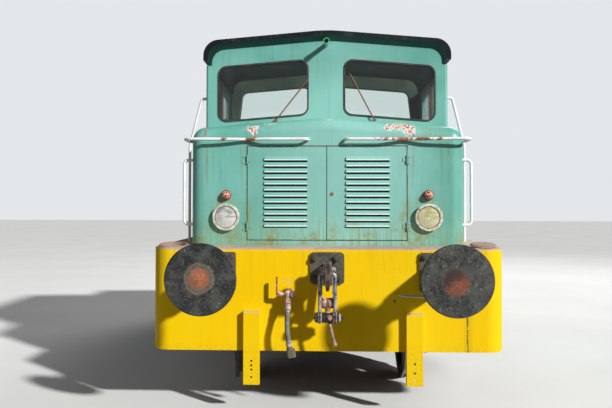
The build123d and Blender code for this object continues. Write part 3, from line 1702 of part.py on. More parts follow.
with BuildPart() as driver_seat:
    with Locations((seat_x, seat_y, deck_top + 10)):
        Cylinder(160, 20)
    with Locations((seat_x, seat_y, deck_top + seat_height / 2)):
        Cylinder(30, seat_height)
    with BuildSketch(Plane.XY.offset(deck_top + seat_height)):
        with Locations((seat_x, seat_y)):
            RectangleRounded(420, 400, 60)
    extrude(amount=70)
    with BuildSketch(Plane.XZ.offset(-seat_y - 220)):
        with Locations((seat_x, deck_top + seat_height + 250)):
            RectangleRounded(380, 400, 60)
    extrude(amount=60)
finish(driver_seat, "driver_seat")
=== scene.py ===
"""Looks of a small two-axle diesel shunting locomotive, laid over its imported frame.

Everything is in metres in the frame's own axes: X across, the short hood facing -Y, Z up from the
lowest point of the wheel flanges.
"""

import json
import logging
import math
from dataclasses import dataclass
from enum import Enum
from functools import partial, reduce

import bmesh
import bpy
from mathutils import Matrix, Vector

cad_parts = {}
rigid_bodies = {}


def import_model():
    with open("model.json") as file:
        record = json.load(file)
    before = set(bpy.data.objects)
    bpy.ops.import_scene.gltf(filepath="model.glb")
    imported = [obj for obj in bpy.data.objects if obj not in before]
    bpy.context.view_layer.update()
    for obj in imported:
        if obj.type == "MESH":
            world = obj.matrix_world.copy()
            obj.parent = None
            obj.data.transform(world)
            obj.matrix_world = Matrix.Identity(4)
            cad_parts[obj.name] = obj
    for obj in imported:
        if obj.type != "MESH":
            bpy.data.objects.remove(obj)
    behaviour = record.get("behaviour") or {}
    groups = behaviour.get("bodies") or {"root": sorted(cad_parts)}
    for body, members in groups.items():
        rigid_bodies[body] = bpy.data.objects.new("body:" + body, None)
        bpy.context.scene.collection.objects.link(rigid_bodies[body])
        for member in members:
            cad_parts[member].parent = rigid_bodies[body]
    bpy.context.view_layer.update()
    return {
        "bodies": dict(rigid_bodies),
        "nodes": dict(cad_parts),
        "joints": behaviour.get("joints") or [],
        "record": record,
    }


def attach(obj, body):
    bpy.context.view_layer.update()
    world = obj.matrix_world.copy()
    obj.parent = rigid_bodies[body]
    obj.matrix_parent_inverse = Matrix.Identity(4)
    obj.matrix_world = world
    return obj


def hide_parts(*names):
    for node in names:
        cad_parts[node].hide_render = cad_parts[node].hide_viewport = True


LOG = logging.getLogger("shunter")
LOCOMOTIVE = "locomotive"
PHOTO_WIDTH = 612
PHOTO_HEIGHT = 408
BOTH_SIDES = (-1.0, 1.0)

Color = tuple[float, float, float, float]
Point = tuple[float, float, float]
Span = tuple[float, float]
Oval = tuple[float, float, float, float]  # middle across and in height, half width and half height
Run = tuple[float, float, float, float]  # place across, top, half width and length


def paint(red: int, green: int, blue: int) -> Color:
    """Turn a colour as read off a screen into the linear colour that a shader takes.

    Args:
        red: Red from 0 to 255.
        green: Green from 0 to 255.
        blue: Blue from 0 to 255.

    Returns:
        The linear colour with full opacity.
    """
    linear = [
        part / 12.92 if part <= 0.04045 else ((part + 0.055) / 1.055) ** 2.4
        for part in (red / 255, green / 255, blue / 255)
    ]
    return (linear[0], linear[1], linear[2], 1.0)


def add_object(name: str, data: bpy.types.ID) -> bpy.types.Object:
    """Put a new object into the scene, at the origin.

    Args:
        name: Name of the object.
        data: Its mesh, curve, lamp or camera.

    Returns:
        The object.
    """
    made = bpy.data.objects.new(name, data)
    bpy.context.scene.collection.objects.link(made)
    return made


class Stain(Enum):
    """Colours that weather leaves on every finish; oil and soot also serve as painted shade in corners."""

    RUST = paint(112, 60, 38)
    FRESH_RUST = paint(176, 92, 52)
    DUST = paint(128, 118, 98)
    SOOT = paint(22, 21, 20)
    MOSS = paint(136, 138, 62)
    OIL = paint(26, 22, 18)


class Field:
    """A pattern in a material's graph, with the sums and masks that finishes make of it."""

    def __init__(self, graph: "Graph", socket: bpy.types.NodeSocket) -> None:
        """Hold a node's output.

        Args:
            graph: Graph that the node is in.
            socket: The output.
        """
        self.graph = graph
        self.socket = socket

    def __add__(self, other: object) -> "Field":
        """Sum with a pattern or a number."""
        return self.graph.math("ADD", self, other)

    def __sub__(self, other: object) -> "Field":
        """Difference from a pattern or a number."""
        return self.graph.math("SUBTRACT", self, other)

    def __mul__(self, other: object) -> "Field":
        """Product with a pattern or a number."""
        return self.graph.math("MULTIPLY", self, other)

    def __truediv__(self, other: object) -> "Field":
        """Quotient by a pattern or a number."""
        return self.graph.math("DIVIDE", self, other)

    def ramp(self, low: float, high: float, start: float, end: float) -> "Field":
        """Go smoothly from start to end as the pattern goes from low to high."""
        values = dict(enumerate((self, low, high, start, end)))
        return self.graph.output("MapRange", 0, values, interpolation_type="SMOOTHSTEP")

    def rise(self, low: float, high: float) -> "Field":
        """Mask from 0 at low to 1 at high."""
        return self.ramp(low, high, 0.0, 1.0)

    def fall(self, low: float, high: float) -> "Field":
        """Mask from 1 at low to 0 at high."""
        return self.ramp(low, high, 1.0, 0.0)

    def near(self, centre: float, width: float) -> "Field":
        """Mask of 1 at a centre, falling to 0 at a width from it."""
        return self.graph.math("ABSOLUTE", self - centre).fall(0.0, width)

    def inside(self, low: float, high: float, soft: float) -> "Field":
        """Mask of 1 between two values, with soft edges outside them."""
        return self.rise(low - soft, low) * self.fall(high, high + soft)

    def between(self, first: object, second: object) -> "Field":
        """Blend two numbers, with this pattern as the share of the second."""
        return self.graph.blend("FLOAT", self, first, second)

    def colors(self, first: object, second: object) -> "Field":
        """Blend two colours, with this pattern as the share of the second."""
        return self.graph.blend("RGBA", self, first, second)

    def tones(self, low: float, high: float, first: object, second: object) -> "Field":
        """Go from one colour to another as the pattern rises from low to high."""
        return self.rise(low, high).colors(first, second)


class Graph:
    """A material's node tree, with a short method for each pattern that the finishes use."""

    def __init__(self, name: str, color: object = None) -> None:
        """Start an empty material whose patterns lie on object coordinates.

        Args:
            name: Name of the material.
            color: Colour that the finish starts from.
        """
        self.material = bpy.data.materials.new(name)
        self.material.use_nodes = True
        self.tree = self.material.node_tree
        self.tree.nodes.clear()
        self.color = color
        self.place = self.output("TexCoord", "Object", {})
        self.x, self.y, self.z = self.split(self.place)
        self.across = self.math("ABSOLUTE", self.x)
        self.along = self.math("ABSOLUTE", self.y)

    def link(self, value: object, socket: bpy.types.NodeSocket) -> None:
        """Feed a socket from a pattern, or set it to a plain value.

        Args:
            value: A pattern, a number, a vector, a colour or a stain.
            socket: The input that takes it.
        """
        if isinstance(value, Field):
            self.tree.links.new(value.socket, socket)
        else:
            socket.default_value = value.value if isinstance(value, Stain) else value

    def output(
        self, kind: str, taken: int | str, inputs: dict[int | str, object], **settings: object
    ) -> Field:
        """Add a node, set it up and take one of its outputs.

        Args:
            kind: Kind of node, as its type name has it after ShaderNode.
            taken: Number or name of the output.
            inputs: Patterns or plain values, by number or name of their inputs.
            **settings: Properties of the node.

        Returns:
            The output.
        """
        node = self.tree.nodes.new("ShaderNode" + kind)
        for name, value in settings.items():
            setattr(node, name, value)
        for name, value in inputs.items():
            self.link(value, node.inputs[name])
        return Field(self, node.outputs[taken])

    def split(self, vector: Field) -> list[Field]:
        """Take the three parts of a vector."""
        return [self.output("SeparateXYZ", axis, {0: vector}) for axis in range(3)]

    def math(self, operation: str, first: object, second: object = 0.0) -> Field:
        """Combine two numbers, or turn the first into another where the operation has only one."""
        return self.output("Math", 0, {0: first, 1: second}, operation=operation)

    def blend(self, kind: str, share: Field, first: object, second: object) -> Field:
        """Blend two numbers (FLOAT) or colours (RGBA) by the share of the second."""
        return self.output("Mix", "Result", {"Factor": share, "A": first, "B": second}, data_type=kind)

    def most(self, *masks: Field) -> Field:
        """Take the largest of several masks."""
        return reduce(partial(self.math, "MAXIMUM"), masks)

    def radius(self, centre: Point, flat: str) -> Field:
        """Distance from a line that stands for its mirror images too.

        Args:
            centre: A point of the line, with x and y as sizes from the middle.
            flat: Axis that the line follows, x or y.

        Returns:
            The distance in metres.
        """
        places = zip("xyz", (self.across, self.along, self.z), centre)
        offsets = [value - middle for axis, value, middle in places if axis != flat]
        return self.math("SQRT", offsets[0] * offsets[0] + offsets[1] * offsets[1])

    def ellipse(self, x: float, z: float, half_x: float, half_z: float) -> Field:
        """Fall from 1 in the middle of an ellipse, seen from the ends, to 0 at its rim."""
        wide, tall = (self.x - x) / half_x, (self.z - z) / half_z
        return (wide * wide + tall * tall).fall(0.0, 1.0)

    def ahead(self, y: float) -> Field:
        """Mask of what lies in front of a plane across the locomotive."""
        return self.y.fall(y - 0.004, y + 0.004)

    def facing_down(self) -> Field:
        """Mask of the faces that look down."""
        return self.split(self.output("NewGeometry", "Normal", {}))[2].fall(-0.55, -0.25)

    def noise(self, scale: float, detail: float = 4.0, rough: float = 0.55, on: Field | None = None) -> Field:
        """Cloudy noise about 0.5, by its lumps in a metre, octaves and strength of the finer ones."""
        values = {"Vector": on or self.place, "Scale": scale, "Detail": detail, "Roughness": rough}
        return self.output("TexNoise", 0, values)

    def streaks(self, lumps: Point, detail: float = 5.0, rough: float = 0.6) -> Field:
        """Noise by its lumps in a metre on each axis, drawn out along those that have few."""
        drawn = self.output("Mapping", 0, {"Vector": self.place, "Scale": lumps})
        return self.noise(1.0, detail, rough, drawn)

    def flakes(self, scale: float) -> Field:
        """Distance to the nearest of scattered points, for chips and pits."""
        return self.output("TexVoronoi", "Distance", {"Vector": self.place, "Scale": scale})

    def corners(self, distance: float, inside: bool) -> Field:
        """Mask of the edges that stick out, or of the occluded corners where shade falls.

        Args:
            distance: How far the mask reaches.
            inside: True for edges that stick out.

        Returns:
            The mask.
        """
        settings = {"samples": 4, "inside": inside, "only_local": inside}
        hidden = self.output("AmbientOcclusion", "AO", {"Distance": distance}, **settings)
        return self.math("SUBTRACT", 1.0, hidden)

    def edge(self, distance: float, low: float, high: float) -> Field:
        """Mask of the edges that stick out, sharpened between two levels."""
        return self.corners(distance, True).rise(low, high)

    def rust(self, scale: float) -> Field:
        """Brown and orange rust in patches, with a number of lumps in a metre."""
        return self.noise(scale, 5.0).colors(Stain.RUST, Stain.FRESH_RUST)

    def lay(self, color: object, mask: Field) -> None:
        """Lay a colour over the finish where a mask lets it."""
        self.color = mask.colors(self.color, color)

    def shade_corners(self, distance: float, share: float, color: Stain = Stain.OIL) -> None:
        """Lay painted shade, a dark oil or soot colour, into the occluded corners of the piece and against
        its neighbours.
        """
        # Painted shade: ambient occlusion darkens the corners.
        self.lay(color, self.corners(distance, False).rise(0.35, 0.9) * share)

    def surface(
        self, rough: object, height: Field | None = None, depth: float = 0.001, strength: float = 0.6,
        **plain: object,
    ) -> bpy.types.Material:
        """Close the tree with a Principled shader.

        Args:
            rough: Roughness.
            height: Bump pattern, if there is one.
            depth: Height in metres that the pattern stands for.
            strength: How much of the bump shows.
            **plain: Other sockets by name, with underscores for spaces.

        Returns:
            The finished material.
        """
        values = {"Base Color": self.color, "Roughness": rough}
        values |= {name.replace("_", " "): value for name, value in plain.items()}
        if height is not None:
            relief = {"Strength": strength, "Distance": depth, "Height": height}
            values["Normal"] = self.output("Bump", 0, relief)
        end = self.tree.nodes.new("ShaderNodeOutputMaterial")
        self.link(self.output("BsdfPrincipled", 0, values), end.inputs[0])
        return self.material


@dataclass(frozen=True)
class WornPaint:
    """Paint on steel: faded in clouds, streaked by rain, dusty below, rusty at edges and chips."""

    name: str
    color: Color
    faded: Color
    fade: float = 0.6
    streak: float = 0.4
    rust: float = 0.35
    dust: float = 0.4
    dust_top: float = 0.9
    dust_low: float = 0.25
    rough: float = 0.5
    chip_scale: float = 22.0
    chip: float = 0.68

    def build(self) -> bpy.types.Material:
        """Make the material.

        Returns:
            The material.
        """
        graph = Graph(self.name, self.color)
        clouds = graph.noise(1.7, 5.0)
        speckle = graph.noise(38.0, 6.0, 0.6)
        graph.lay(self.faded, clouds.rise(0.35, 0.68) * self.fade)
        graph.lay(self.faded, speckle.rise(0.5, 0.75) * 0.25)
        graph.lay(Stain.DUST, graph.streaks((26.0, 26.0, 1.3)).rise(0.52, 0.72) * self.streak)
        film = graph.noise(6.0, 6.0).rise(0.25, 0.7) * self.dust
        graph.lay(Stain.DUST, graph.z.fall(self.dust_low, self.dust_top).between(0.35, 1.0) * film)
        patches = graph.noise(self.chip_scale, 6.0, 0.65).rise(self.chip, self.chip + 0.05)
        broken = graph.edge(0.004, 0.30, 0.6) * graph.noise(9.0, 5.0).rise(0.45, 0.6)
        bare = graph.math("MINIMUM", graph.most(patches, broken) * (self.rust * 2.0), 1.0)
        graph.lay(graph.rust(60.0), bare)
        rough = bare.between(clouds.ramp(0.3, 0.7, self.rough - 0.08, self.rough + 0.1), 0.9)
        return graph.surface(rough, speckle * 0.25 - bare * 0.8, 0.0006)


@dataclass(frozen=True)
class BodyPaint:
    """Faded teal green of hoods, doors and cab: stains, scars on the shoulder, a painted sheen patch, painted
    shadows and highlights at the louvres, painted shade in corners, and drab green lining darkened as painted
    shade.
    """

    name: str = "body_paint"
    color: Color = paint(98, 170, 154)
    faded: Color = paint(122, 190, 177)
    deep: Color = paint(76, 146, 133)
    # Painted sheen: pale tint laid over the short hood to stand for the sky's reflection.
    painted_sheen: Color = paint(172, 222, 214)
    # Drab green lining, darkened as painted shade of the cab's interior.
    lining: Color = paint(38, 52, 40)
    sill: float = 1.261
    sill_growth: Span = (0.34, 0.06)
    cab_y: float = -1.45
    shoulder_y: float = -1.90
    lock_y: float = -2.12
    end_skin: Span = (2.10, 2.12)
    flank_skin: Span = (1.08, 1.095)
    louvre_skin: Span = (1.09, 1.10)
    lamp_skin: Span = (2.09, 2.12)
    lining_x: float = 1.0665
    lining_y: Span = (-1.4665, 0.0865)
    lamp: Point = (0.800, 2.14, 1.46)
    lamp_growth: Span = (0.13, 0.29)
    lock: Oval = (0.045, 1.684, 0.016, 0.016)
    door_z: Span = (1.300, 2.077)
    end_doors_half: float = 0.656
    side_doors_y: Span = (0.470, 1.830)
    end_seams: tuple[Span, ...] = ((0.6545, 0.011), (0.0, 0.006))
    level_seams: tuple[Span, ...] = ((1.306, 0.010), (2.071, 0.009))
    side_seams: tuple[Span, ...] = ((0.470, 0.011), (1.150, 0.007), (1.830, 0.011))
    louvre_lip: float = 1.956
    louvre_pitch: float = 0.0492
    louvre_rows: int = 12
    louvre_span: Span = (0.160, 0.510)
    side_louvre_spans: tuple[Span, ...] = ((0.629, 0.978), (1.322, 1.671))
    runs: tuple[Run, ...] = (
        (0.700, 2.090, 0.014, 0.45),
        (0.655, 2.060, 0.010, 0.75),
        (0.930, 2.090, 0.012, 0.42),
        (0.985, 2.070, 0.020, 0.50),
        (0.800, 1.400, 0.040, 0.14),
        (0.480, 2.920, 0.010, 0.30),
    )
    scars: tuple[Oval, ...] = (
        (-0.612, 2.222, 0.120, 0.046),
        (-0.596, 2.190, 0.050, 0.050),
        (0.530, 2.228, 0.125, 0.062),
        (0.600, 2.236, 0.100, 0.058),
        (0.665, 2.206, 0.105, 0.086),
    )
    flecks: tuple[Oval, ...] = ((-0.470, 2.262, 0.110, 0.020), (0.020, 2.300, 0.110, 0.024))
    drips: tuple[Oval, ...] = (
        (-1.001, 2.187, 0.012, 0.045),
        (0.700, 2.150, 0.010, 0.040),
        (-0.590, 2.165, 0.009, 0.040),
    )
    shoulder_growth: Oval = (0.84, 2.190, 0.14, 0.055)
    painted_sheen_patch: Oval = (0.14, 1.95, 0.95, 1.50)
    torn_side: Span = (0.45, 0.62)

    def run_marks(self, graph: Graph) -> Field:
        """Mask of the rusty runs that start at bars, lamps and window corners.

        Args:
            graph: The material's graph.

        Returns:
            The mask.
        """
        bent = graph.across + (graph.noise(5.0, 3.0) - 0.5) * 0.02
        masks = []
        for centre, top, width, length in self.runs:
            below = graph.z.rise(top - length, top - 0.02)
            masks.append(bent.near(centre, width) * below * graph.z.fall(top, top + 0.01))
        return graph.most(*masks) * graph.streaks((60.0, 60.0, 4.0)).rise(0.38, 0.62)

    def scar_marks(self, graph: Graph, scars: tuple[Oval, ...], gain: float) -> Field:
        """Height of the torn paint, from 0 where it is whole to 1 deep inside a ragged scar."""
        shape = graph.most(*(graph.ellipse(*scar) for scar in scars)) * graph.ahead(self.shoulder_y)
        return shape + (graph.noise(38.0, 6.0, 0.68) - 0.5) * gain

    def seam_marks(self, graph: Graph) -> Field:
        """Mask of the dirt and rust along the gaps round the end and side doors.

        Args:
            graph: The material's graph.

        Returns:
            The mask.
        """
        tall = graph.z.inside(*self.door_z, 0.004)
        level = graph.most(*(graph.z.near(*seam) for seam in self.level_seams))
        ends = graph.most(*(graph.across.near(*seam) for seam in self.end_seams)) * tall
        sides = graph.most(*(graph.y.near(*seam) for seam in self.side_seams)) * tall
        ends = graph.most(ends, level * graph.across.inside(0.0, self.end_doors_half, 0.003))
        sides = graph.most(sides, level * graph.y.inside(*self.side_doors_y, 0.003))
        return graph.most(
            graph.along.rise(*self.end_skin) * ends, graph.across.rise(*self.flank_skin) * sides
        )

    def louvre_shadows_and_highlights(self, graph: Graph) -> tuple[Field, Field]:
        """Mask the painted shadows over the dark slots under the louvres and the painted highlights on the
        lips above them.

        Args:
            graph: The material's graph.

        Returns:
            The mask of the painted slot shadows and that of the painted lip highlights.
        """
        part = graph.math("FRACT", graph.math("SUBTRACT", self.louvre_lip, graph.z) / self.louvre_pitch)
        lowest = self.louvre_lip - (self.louvre_rows - 1) * self.louvre_pitch - 0.0105
        rows = graph.z.inside(lowest, self.louvre_lip + 0.009, 0.0005)
        ends = graph.across.inside(*self.louvre_span, 0.002) * graph.along.rise(*self.end_skin)
        sides = graph.most(*(graph.y.inside(*span, 0.002) for span in self.side_louvre_spans))
        field = rows * graph.most(ends, sides * graph.across.rise(*self.louvre_skin))
        # Painted shadow under each lip, painted highlight on the lip.
        return part.fall(0.30, 0.35) * field, part.rise(0.78, 0.86) * field

    def moss_marks(self, graph: Graph, cloth: Field, streaks: Field) -> Field:
        """Mask of the olive growth above the sill, round the lamps and at the corners of the doors.

        Args:
            graph: The material's graph.
            cloth: Middling noise.
            streaks: Noise drawn out in height.

        Returns:
            The mask.
        """
        low = graph.most(*(graph.z.fall(self.sill, self.sill + reach) for reach in self.sill_growth))
        shape = graph.most(graph.noise(8.0, 6.0, 0.65).rise(0.46, 0.66), streaks.rise(0.45, 0.65) * 0.9)
        ring = graph.radius(self.lamp, "y").fall(*self.lamp_growth)
        ring = ring * graph.along.rise(*self.lamp_skin) * 0.80
        ring = ring * graph.most(cloth.rise(0.46, 0.66), streaks.rise(0.46, 0.62))
        shoulder = graph.ellipse(*self.shoulder_growth) * graph.ahead(self.shoulder_y)
        return graph.most(low * shape * 0.92, ring, shoulder * streaks.rise(0.46, 0.60) * 0.6)

    def bare_marks(self, graph: Graph, cloth: Field, core: Field) -> Field:
        """Mask of the bare rusty steel: hearts of the scars, edges, spots, drips and the lock.

        Args:
            graph: The material's graph.
            cloth: Middling noise.
            core: Mask of the hearts of the scars.

        Returns:
            The mask.
        """
        edge = graph.edge(0.0022, 0.30, 0.60) * graph.noise(11.0, 5.0, 0.6).rise(0.50, 0.60)
        spots = graph.flakes(7.0).fall(0.020, 0.034) * cloth.rise(0.54, 0.60)
        drips = graph.most(*(graph.ellipse(*drip) for drip in self.drips)).rise(0.2, 0.6)
        lock = (graph.ellipse(*self.lock) * graph.ahead(self.lock_y)).rise(0.15, 0.35)
        return graph.most(
            core, edge * 0.7, spots * 0.8, drips * graph.ahead(self.shoulder_y) * 0.8, lock
        )

    def build(self) -> bpy.types.Material:
        """Make the material.

        Returns:
            The material.
        """
        graph = Graph(self.name, self.color)
        clouds = graph.noise(1.3, 5.0, 0.55)
        cloth = graph.noise(7.0, 6.0, 0.6)
        fine_rain = graph.streaks((55.0, 55.0, 1.6), 6.0, 0.7)
        graph.lay(self.faded, clouds.rise(0.34, 0.66))
        graph.lay(self.faded, cloth.rise(0.45, 0.75) * 0.40)
        graph.lay(self.deep, graph.streaks((16.0, 16.0, 0.9)).rise(0.50, 0.75) * 0.45)
        graph.lay(self.faded, fine_rain.rise(0.56, 0.78) * 0.26)
        # Painted sheen: a broad pale patch on the short hood stands for the sky's reflection on the paint.
        painted_sheen = graph.ellipse(*self.painted_sheen_patch) * graph.ahead(self.cab_y)
        graph.lay(self.painted_sheen, painted_sheen * 0.42)
        moss = self.moss_marks(graph, cloth, fine_rain)
        graph.lay(Stain.MOSS, moss)
        seams = self.seam_marks(graph) * graph.noise(14.0, 5.0).rise(0.30, 0.55)
        amber = graph.noise(30.0, 4.0).tones(0.4, 0.6, paint(132, 84, 56), Stain.MOSS)
        graph.lay(amber, graph.most(self.run_marks(graph) * 0.65, seams * 0.80))
        torn = self.scar_marks(graph, self.scars, 3.0) + graph.x.rise(*self.torn_side) * 0.10
        scar = torn.rise(0.83, 0.89)
        fleck = self.scar_marks(graph, self.flecks, 2.6).rise(1.00, 1.08)
        bare = self.bare_marks(graph, cloth, torn.rise(1.08, 1.18))
        graph.lay(paint(240, 230, 220), graph.most(scar, fleck * 0.6))
        graph.lay(graph.noise(90.0, 5.0).tones(0.4, 0.6, paint(150, 66, 44), paint(196, 104, 70)), bare)
        # Painted highlight on each louvre's lip, and painted shadow over the dark slot under it.
        slot, lip = self.louvre_shadows_and_highlights(graph)
        graph.lay(paint(228, 250, 244), lip * 0.9)
        graph.lay(paint(2, 6, 6), slot)
        # Drab green lining inside the cab, darkened as painted shade of the cab's interior.
        within = graph.across.inside(0.0, self.lining_x, 0.0008) * graph.y.inside(*self.lining_y, 0.0008)
        graph.lay(cloth.tones(0.4, 0.7, self.lining, paint(58, 76, 58)), within)
        # Painted shade: a soot colour in the occluded corners.
        graph.shade_corners(0.05, 0.35, Stain.SOOT)
        rough = graph.most(bare, moss).between(clouds.ramp(0.3, 0.7, 0.36, 0.52), 0.85)
        return graph.surface(rough, graph.noise(45.0, 6.0, 0.6) * 0.22 - scar * 0.5, 0.0007, 0.7)


@dataclass(frozen=True)
class BeamPaint:
    """Warning yellow of beams and guard posts: rain-stained above, scratched, with one broken seam."""

    name: str = "beam_paint"
    color: Color = paint(252, 206, 0)
    pale: Color = paint(250, 210, 10)
    bare: Color = paint(214, 196, 160)
    face_y: float = -2.445
    seam_x: float = 1.066
    seam_top: Span = (0.74, 0.80)
    top: float = 1.25
    rain_foot: float = 0.80
    splash: Span = (0.47, 0.56)
    cock_chips: Oval = (-0.292, 1.000, 0.075, 0.050)
    foot_spots: Oval = (0.0, 0.510, 0.07, 0.03)
    post_face_y: float = -2.46
    post_tops: tuple[Span, ...] = ((-0.577, 0.780), (0.662, 0.770))

    def chip_marks(self, graph: Graph) -> Field:
        """Mask of the pale chips round the brake cock, along the deck and on the heads of the posts.

        Args:
            graph: The material's graph.

        Returns:
            The mask.
        """
        ragged = graph.noise(48.0, 6.0, 0.7)
        rim = graph.z.rise(self.top - 0.016, self.top - 0.004) * graph.noise(20.0, 5.0).rise(0.42, 0.62)
        cock = graph.ellipse(*self.cock_chips) * graph.ahead(self.face_y)
        cock = (cock + ragged * 4.0).rise(3.10, 3.24)
        heads = [graph.x.near(x, 0.14).rise(0.0, 0.1) * graph.z.near(z, 0.016) for x, z in self.post_tops]
        head = graph.most(*heads) * graph.ahead(self.post_face_y) * ragged.rise(0.36, 0.52)
        return graph.most(rim * 0.7, cock * 0.9, head * 1.4)

    def seam_marks(self, graph: Graph) -> Field:
        """Mask of the broken dark seam to the right of the right guard post.

        Args:
            graph: The material's graph.

        Returns:
            The mask.
        """
        body = (graph.x + (graph.noise(9.0, 3.0) - 0.5) * 0.008).near(self.seam_x, 0.011)
        broken = graph.streaks((40.0, 10.0, 24.0), 5.0, 0.7).rise(0.44, 0.52)
        return body * graph.ahead(self.face_y) * broken * graph.z.fall(*self.seam_top)

    def build(self) -> bpy.types.Material:
        """Make the material.

        Returns:
            The material.
        """
        graph = Graph(self.name, self.color)
        clouds = graph.noise(2.2, 5.0)
        speckle = graph.noise(50.0, 6.0, 0.65)
        fine = graph.streaks((85.0, 85.0, 3.0), 6.0, 0.7)
        upper = graph.z.rise(self.rain_foot, self.top)
        front = graph.ahead(self.face_y)
        graph.lay(self.pale, clouds.rise(0.4, 0.7))
        wash = graph.streaks((24.0, 24.0, 1.4), 6.0, 0.62).rise(0.44, 0.70) * upper.between(0.12, 0.60)
        graph.lay(paint(206, 164, 30), wash * 0.42)
        dirt = fine.rise(0.52, 0.72) * upper.between(0.10, 0.60) * clouds.rise(0.36, 0.60)
        graph.lay(paint(158, 122, 44), dirt * 0.60)
        specks = graph.noise(70.0, 4.0, 0.6).rise(0.62, 0.68) * clouds.rise(0.40, 0.60) * upper
        graph.lay(paint(120, 92, 40), specks * 0.6)
        graph.lay(paint(168, 130, 40), graph.z.fall(*self.splash) * speckle.rise(0.44, 0.62) * 0.22)
        smear = graph.x.near(self.seam_x, 0.06) * front * fine.rise(0.35, 0.6)
        graph.lay(paint(190, 146, 34), smear * 0.40)
        low_spots = graph.ellipse(*self.foot_spots) * speckle.rise(0.50, 0.56) * front
        seam = graph.most(self.seam_marks(graph), low_spots)
        graph.lay(paint(56, 38, 22), seam * 0.9)
        chips = self.chip_marks(graph)
        graph.lay(self.bare, chips)
        edge = graph.edge(0.004, 0.35, 0.65) * graph.noise(12.0, 5.0, 0.6).rise(0.52, 0.62)
        spots = graph.flakes(8.0).fall(0.016, 0.030) * graph.noise(4.0).rise(0.50, 0.58)
        bare = graph.most(edge, spots)
        graph.lay(graph.rust(60.0), bare * 0.85)
        # Painted shade: an oil colour in the occluded corners.
        graph.shade_corners(0.05, 0.3)
        worn = graph.most(bare, seam, chips)
        rough = worn.between(clouds.ramp(0.3, 0.7, 0.44, 0.58), 0.88)
        return graph.surface(rough, speckle * 0.2 - worn * 0.7, 0.0008, 0.7, Specular_IOR_Level=0.18)


@dataclass(frozen=True)
class RailPaint:
    """White paint of bars and rails, chipped to rust in a few places of the front bars."""

    name: str = "rail_paint"
    color: Color = paint(250, 250, 248)
    dull: Color = paint(236, 234, 229)
    bar_y: float = -2.10
    bar_z: float = 2.126
    rust: tuple[Point, ...] = (
        (-0.842, 0.060, 0.42),
        (-0.627, 0.085, 0.50),
        (0.470, 0.150, 0.36),
        (0.600, 0.170, 0.46),
        (0.760, 0.150, 0.46),
        (0.905, 0.050, 0.42),
    )

    def build(self) -> bpy.types.Material:
        """Make the material.

        Returns:
            The material.
        """
        graph = Graph(self.name, self.color)
        clouds = graph.noise(5.0, 5.0)
        grain = graph.noise(60.0, 6.0, 0.65)
        graph.lay(self.dull, clouds.rise(0.38, 0.66))
        graph.lay(paint(176, 150, 132), graph.streaks((40.0, 40.0, 6.0)).rise(0.55, 0.72) * 0.35)
        worn = graph.most(*(graph.x.near(x, half) * share for x, half, share in self.rust))
        bars = graph.z.inside(self.bar_z - 0.05, self.bar_z + 0.05, 0.01)
        ragged = graph.noise(42.0, 6.0, 0.66) + worn * graph.ahead(self.bar_y) * bars * 0.75
        bare = ragged.rise(0.70, 0.76)
        graph.lay(paint(222, 170, 140), ragged.rise(0.60, 0.72) * 0.45)
        graph.lay(grain.tones(0.4, 0.62, paint(124, 68, 40), paint(196, 124, 78)), bare)
        rough = bare.between(clouds.ramp(0.3, 0.7, 0.34, 0.48), 0.85)
        return graph.surface(rough, grain * 0.2 - bare * 0.8, 0.0006, 0.6)


@dataclass(frozen=True)
class RoofPaint:
    """Roof sheet: weathered near-black above and on its edges, and on its underside a dark teal that is
    painted shade.
    """

    name: str = "roof_paint"
    above: Color = paint(5, 12, 13)
    worn: Color = paint(12, 28, 29)
    # Painted shade: the underside's dark teal stands for teal paint in shade.
    below: Color = paint(12, 46, 46)
    crown: Span = (2.98, 3.06)

    def build(self) -> bpy.types.Material:
        """Make the material.

        Returns:
            The material.
        """
        graph = Graph(self.name, self.above)
        clouds = graph.noise(2.2, 6.0, 0.6)
        speckle = graph.noise(40.0, 6.0, 0.65)
        level = graph.z.rise(*self.crown)
        chips = graph.noise(20.0, 6.0, 0.65).rise(0.68, 0.72)
        graph.lay(self.worn, clouds.rise(0.36, 0.68))
        streaks = graph.streaks((1.4, 16.0, 16.0), 6.0, 0.65)
        graph.lay(paint(66, 70, 64), streaks.rise(0.5, 0.72) * level * 0.4)
        graph.lay(Stain.DUST, speckle.rise(0.55, 0.7) * level * 0.25)
        graph.lay(paint(80, 84, 52), graph.noise(6.0, 6.0, 0.65).rise(0.56, 0.68) * level * 0.4)
        graph.lay(Stain.RUST, chips * 0.8)
        # Painted shade: the down-facing underside gets a dark teal that stands for teal paint in shade.
        graph.lay(clouds.tones(0.4, 0.7, self.below, paint(20, 58, 56)), graph.facing_down())
        rough = chips.between(clouds.ramp(0.3, 0.7, 0.5, 0.68), 0.9)
        return graph.surface(rough, speckle, 0.0008, 0.5, Specular_IOR_Level=0.22)


@dataclass(frozen=True)
class CockPaint:
    """Pinkish paint of the brake cocks, worn to brown on the nut and dark on the lever."""

    name: str = "cock_paint"
    color: Color = paint(236, 200, 182)
    brown: Color = paint(164, 124, 106)
    lever: Color = paint(140, 84, 88)
    lever_x: float = 0.374
    nut_top: float = 0.880

    def build(self) -> bpy.types.Material:
        """Make the material.

        Returns:
            The material.
        """
        graph = Graph(self.name, self.color)
        lumps = graph.noise(30.0, 6.0, 0.65)
        graph.lay(self.brown, lumps.rise(0.46, 0.60))
        graph.lay(self.brown, graph.z.fall(self.nut_top - 0.01, self.nut_top) * 0.8)
        purple = lumps.tones(0.5, 0.62, self.lever, paint(196, 150, 146))
        graph.lay(purple, graph.across.rise(self.lever_x, self.lever_x + 0.002))
        # Painted shade: an oil colour in the occluded corners.
        graph.shade_corners(0.03, 0.5)
        return graph.surface(lumps.ramp(0.3, 0.7, 0.45, 0.8), graph.noise(110.0, 6.0, 0.7), 0.0008, 0.5)


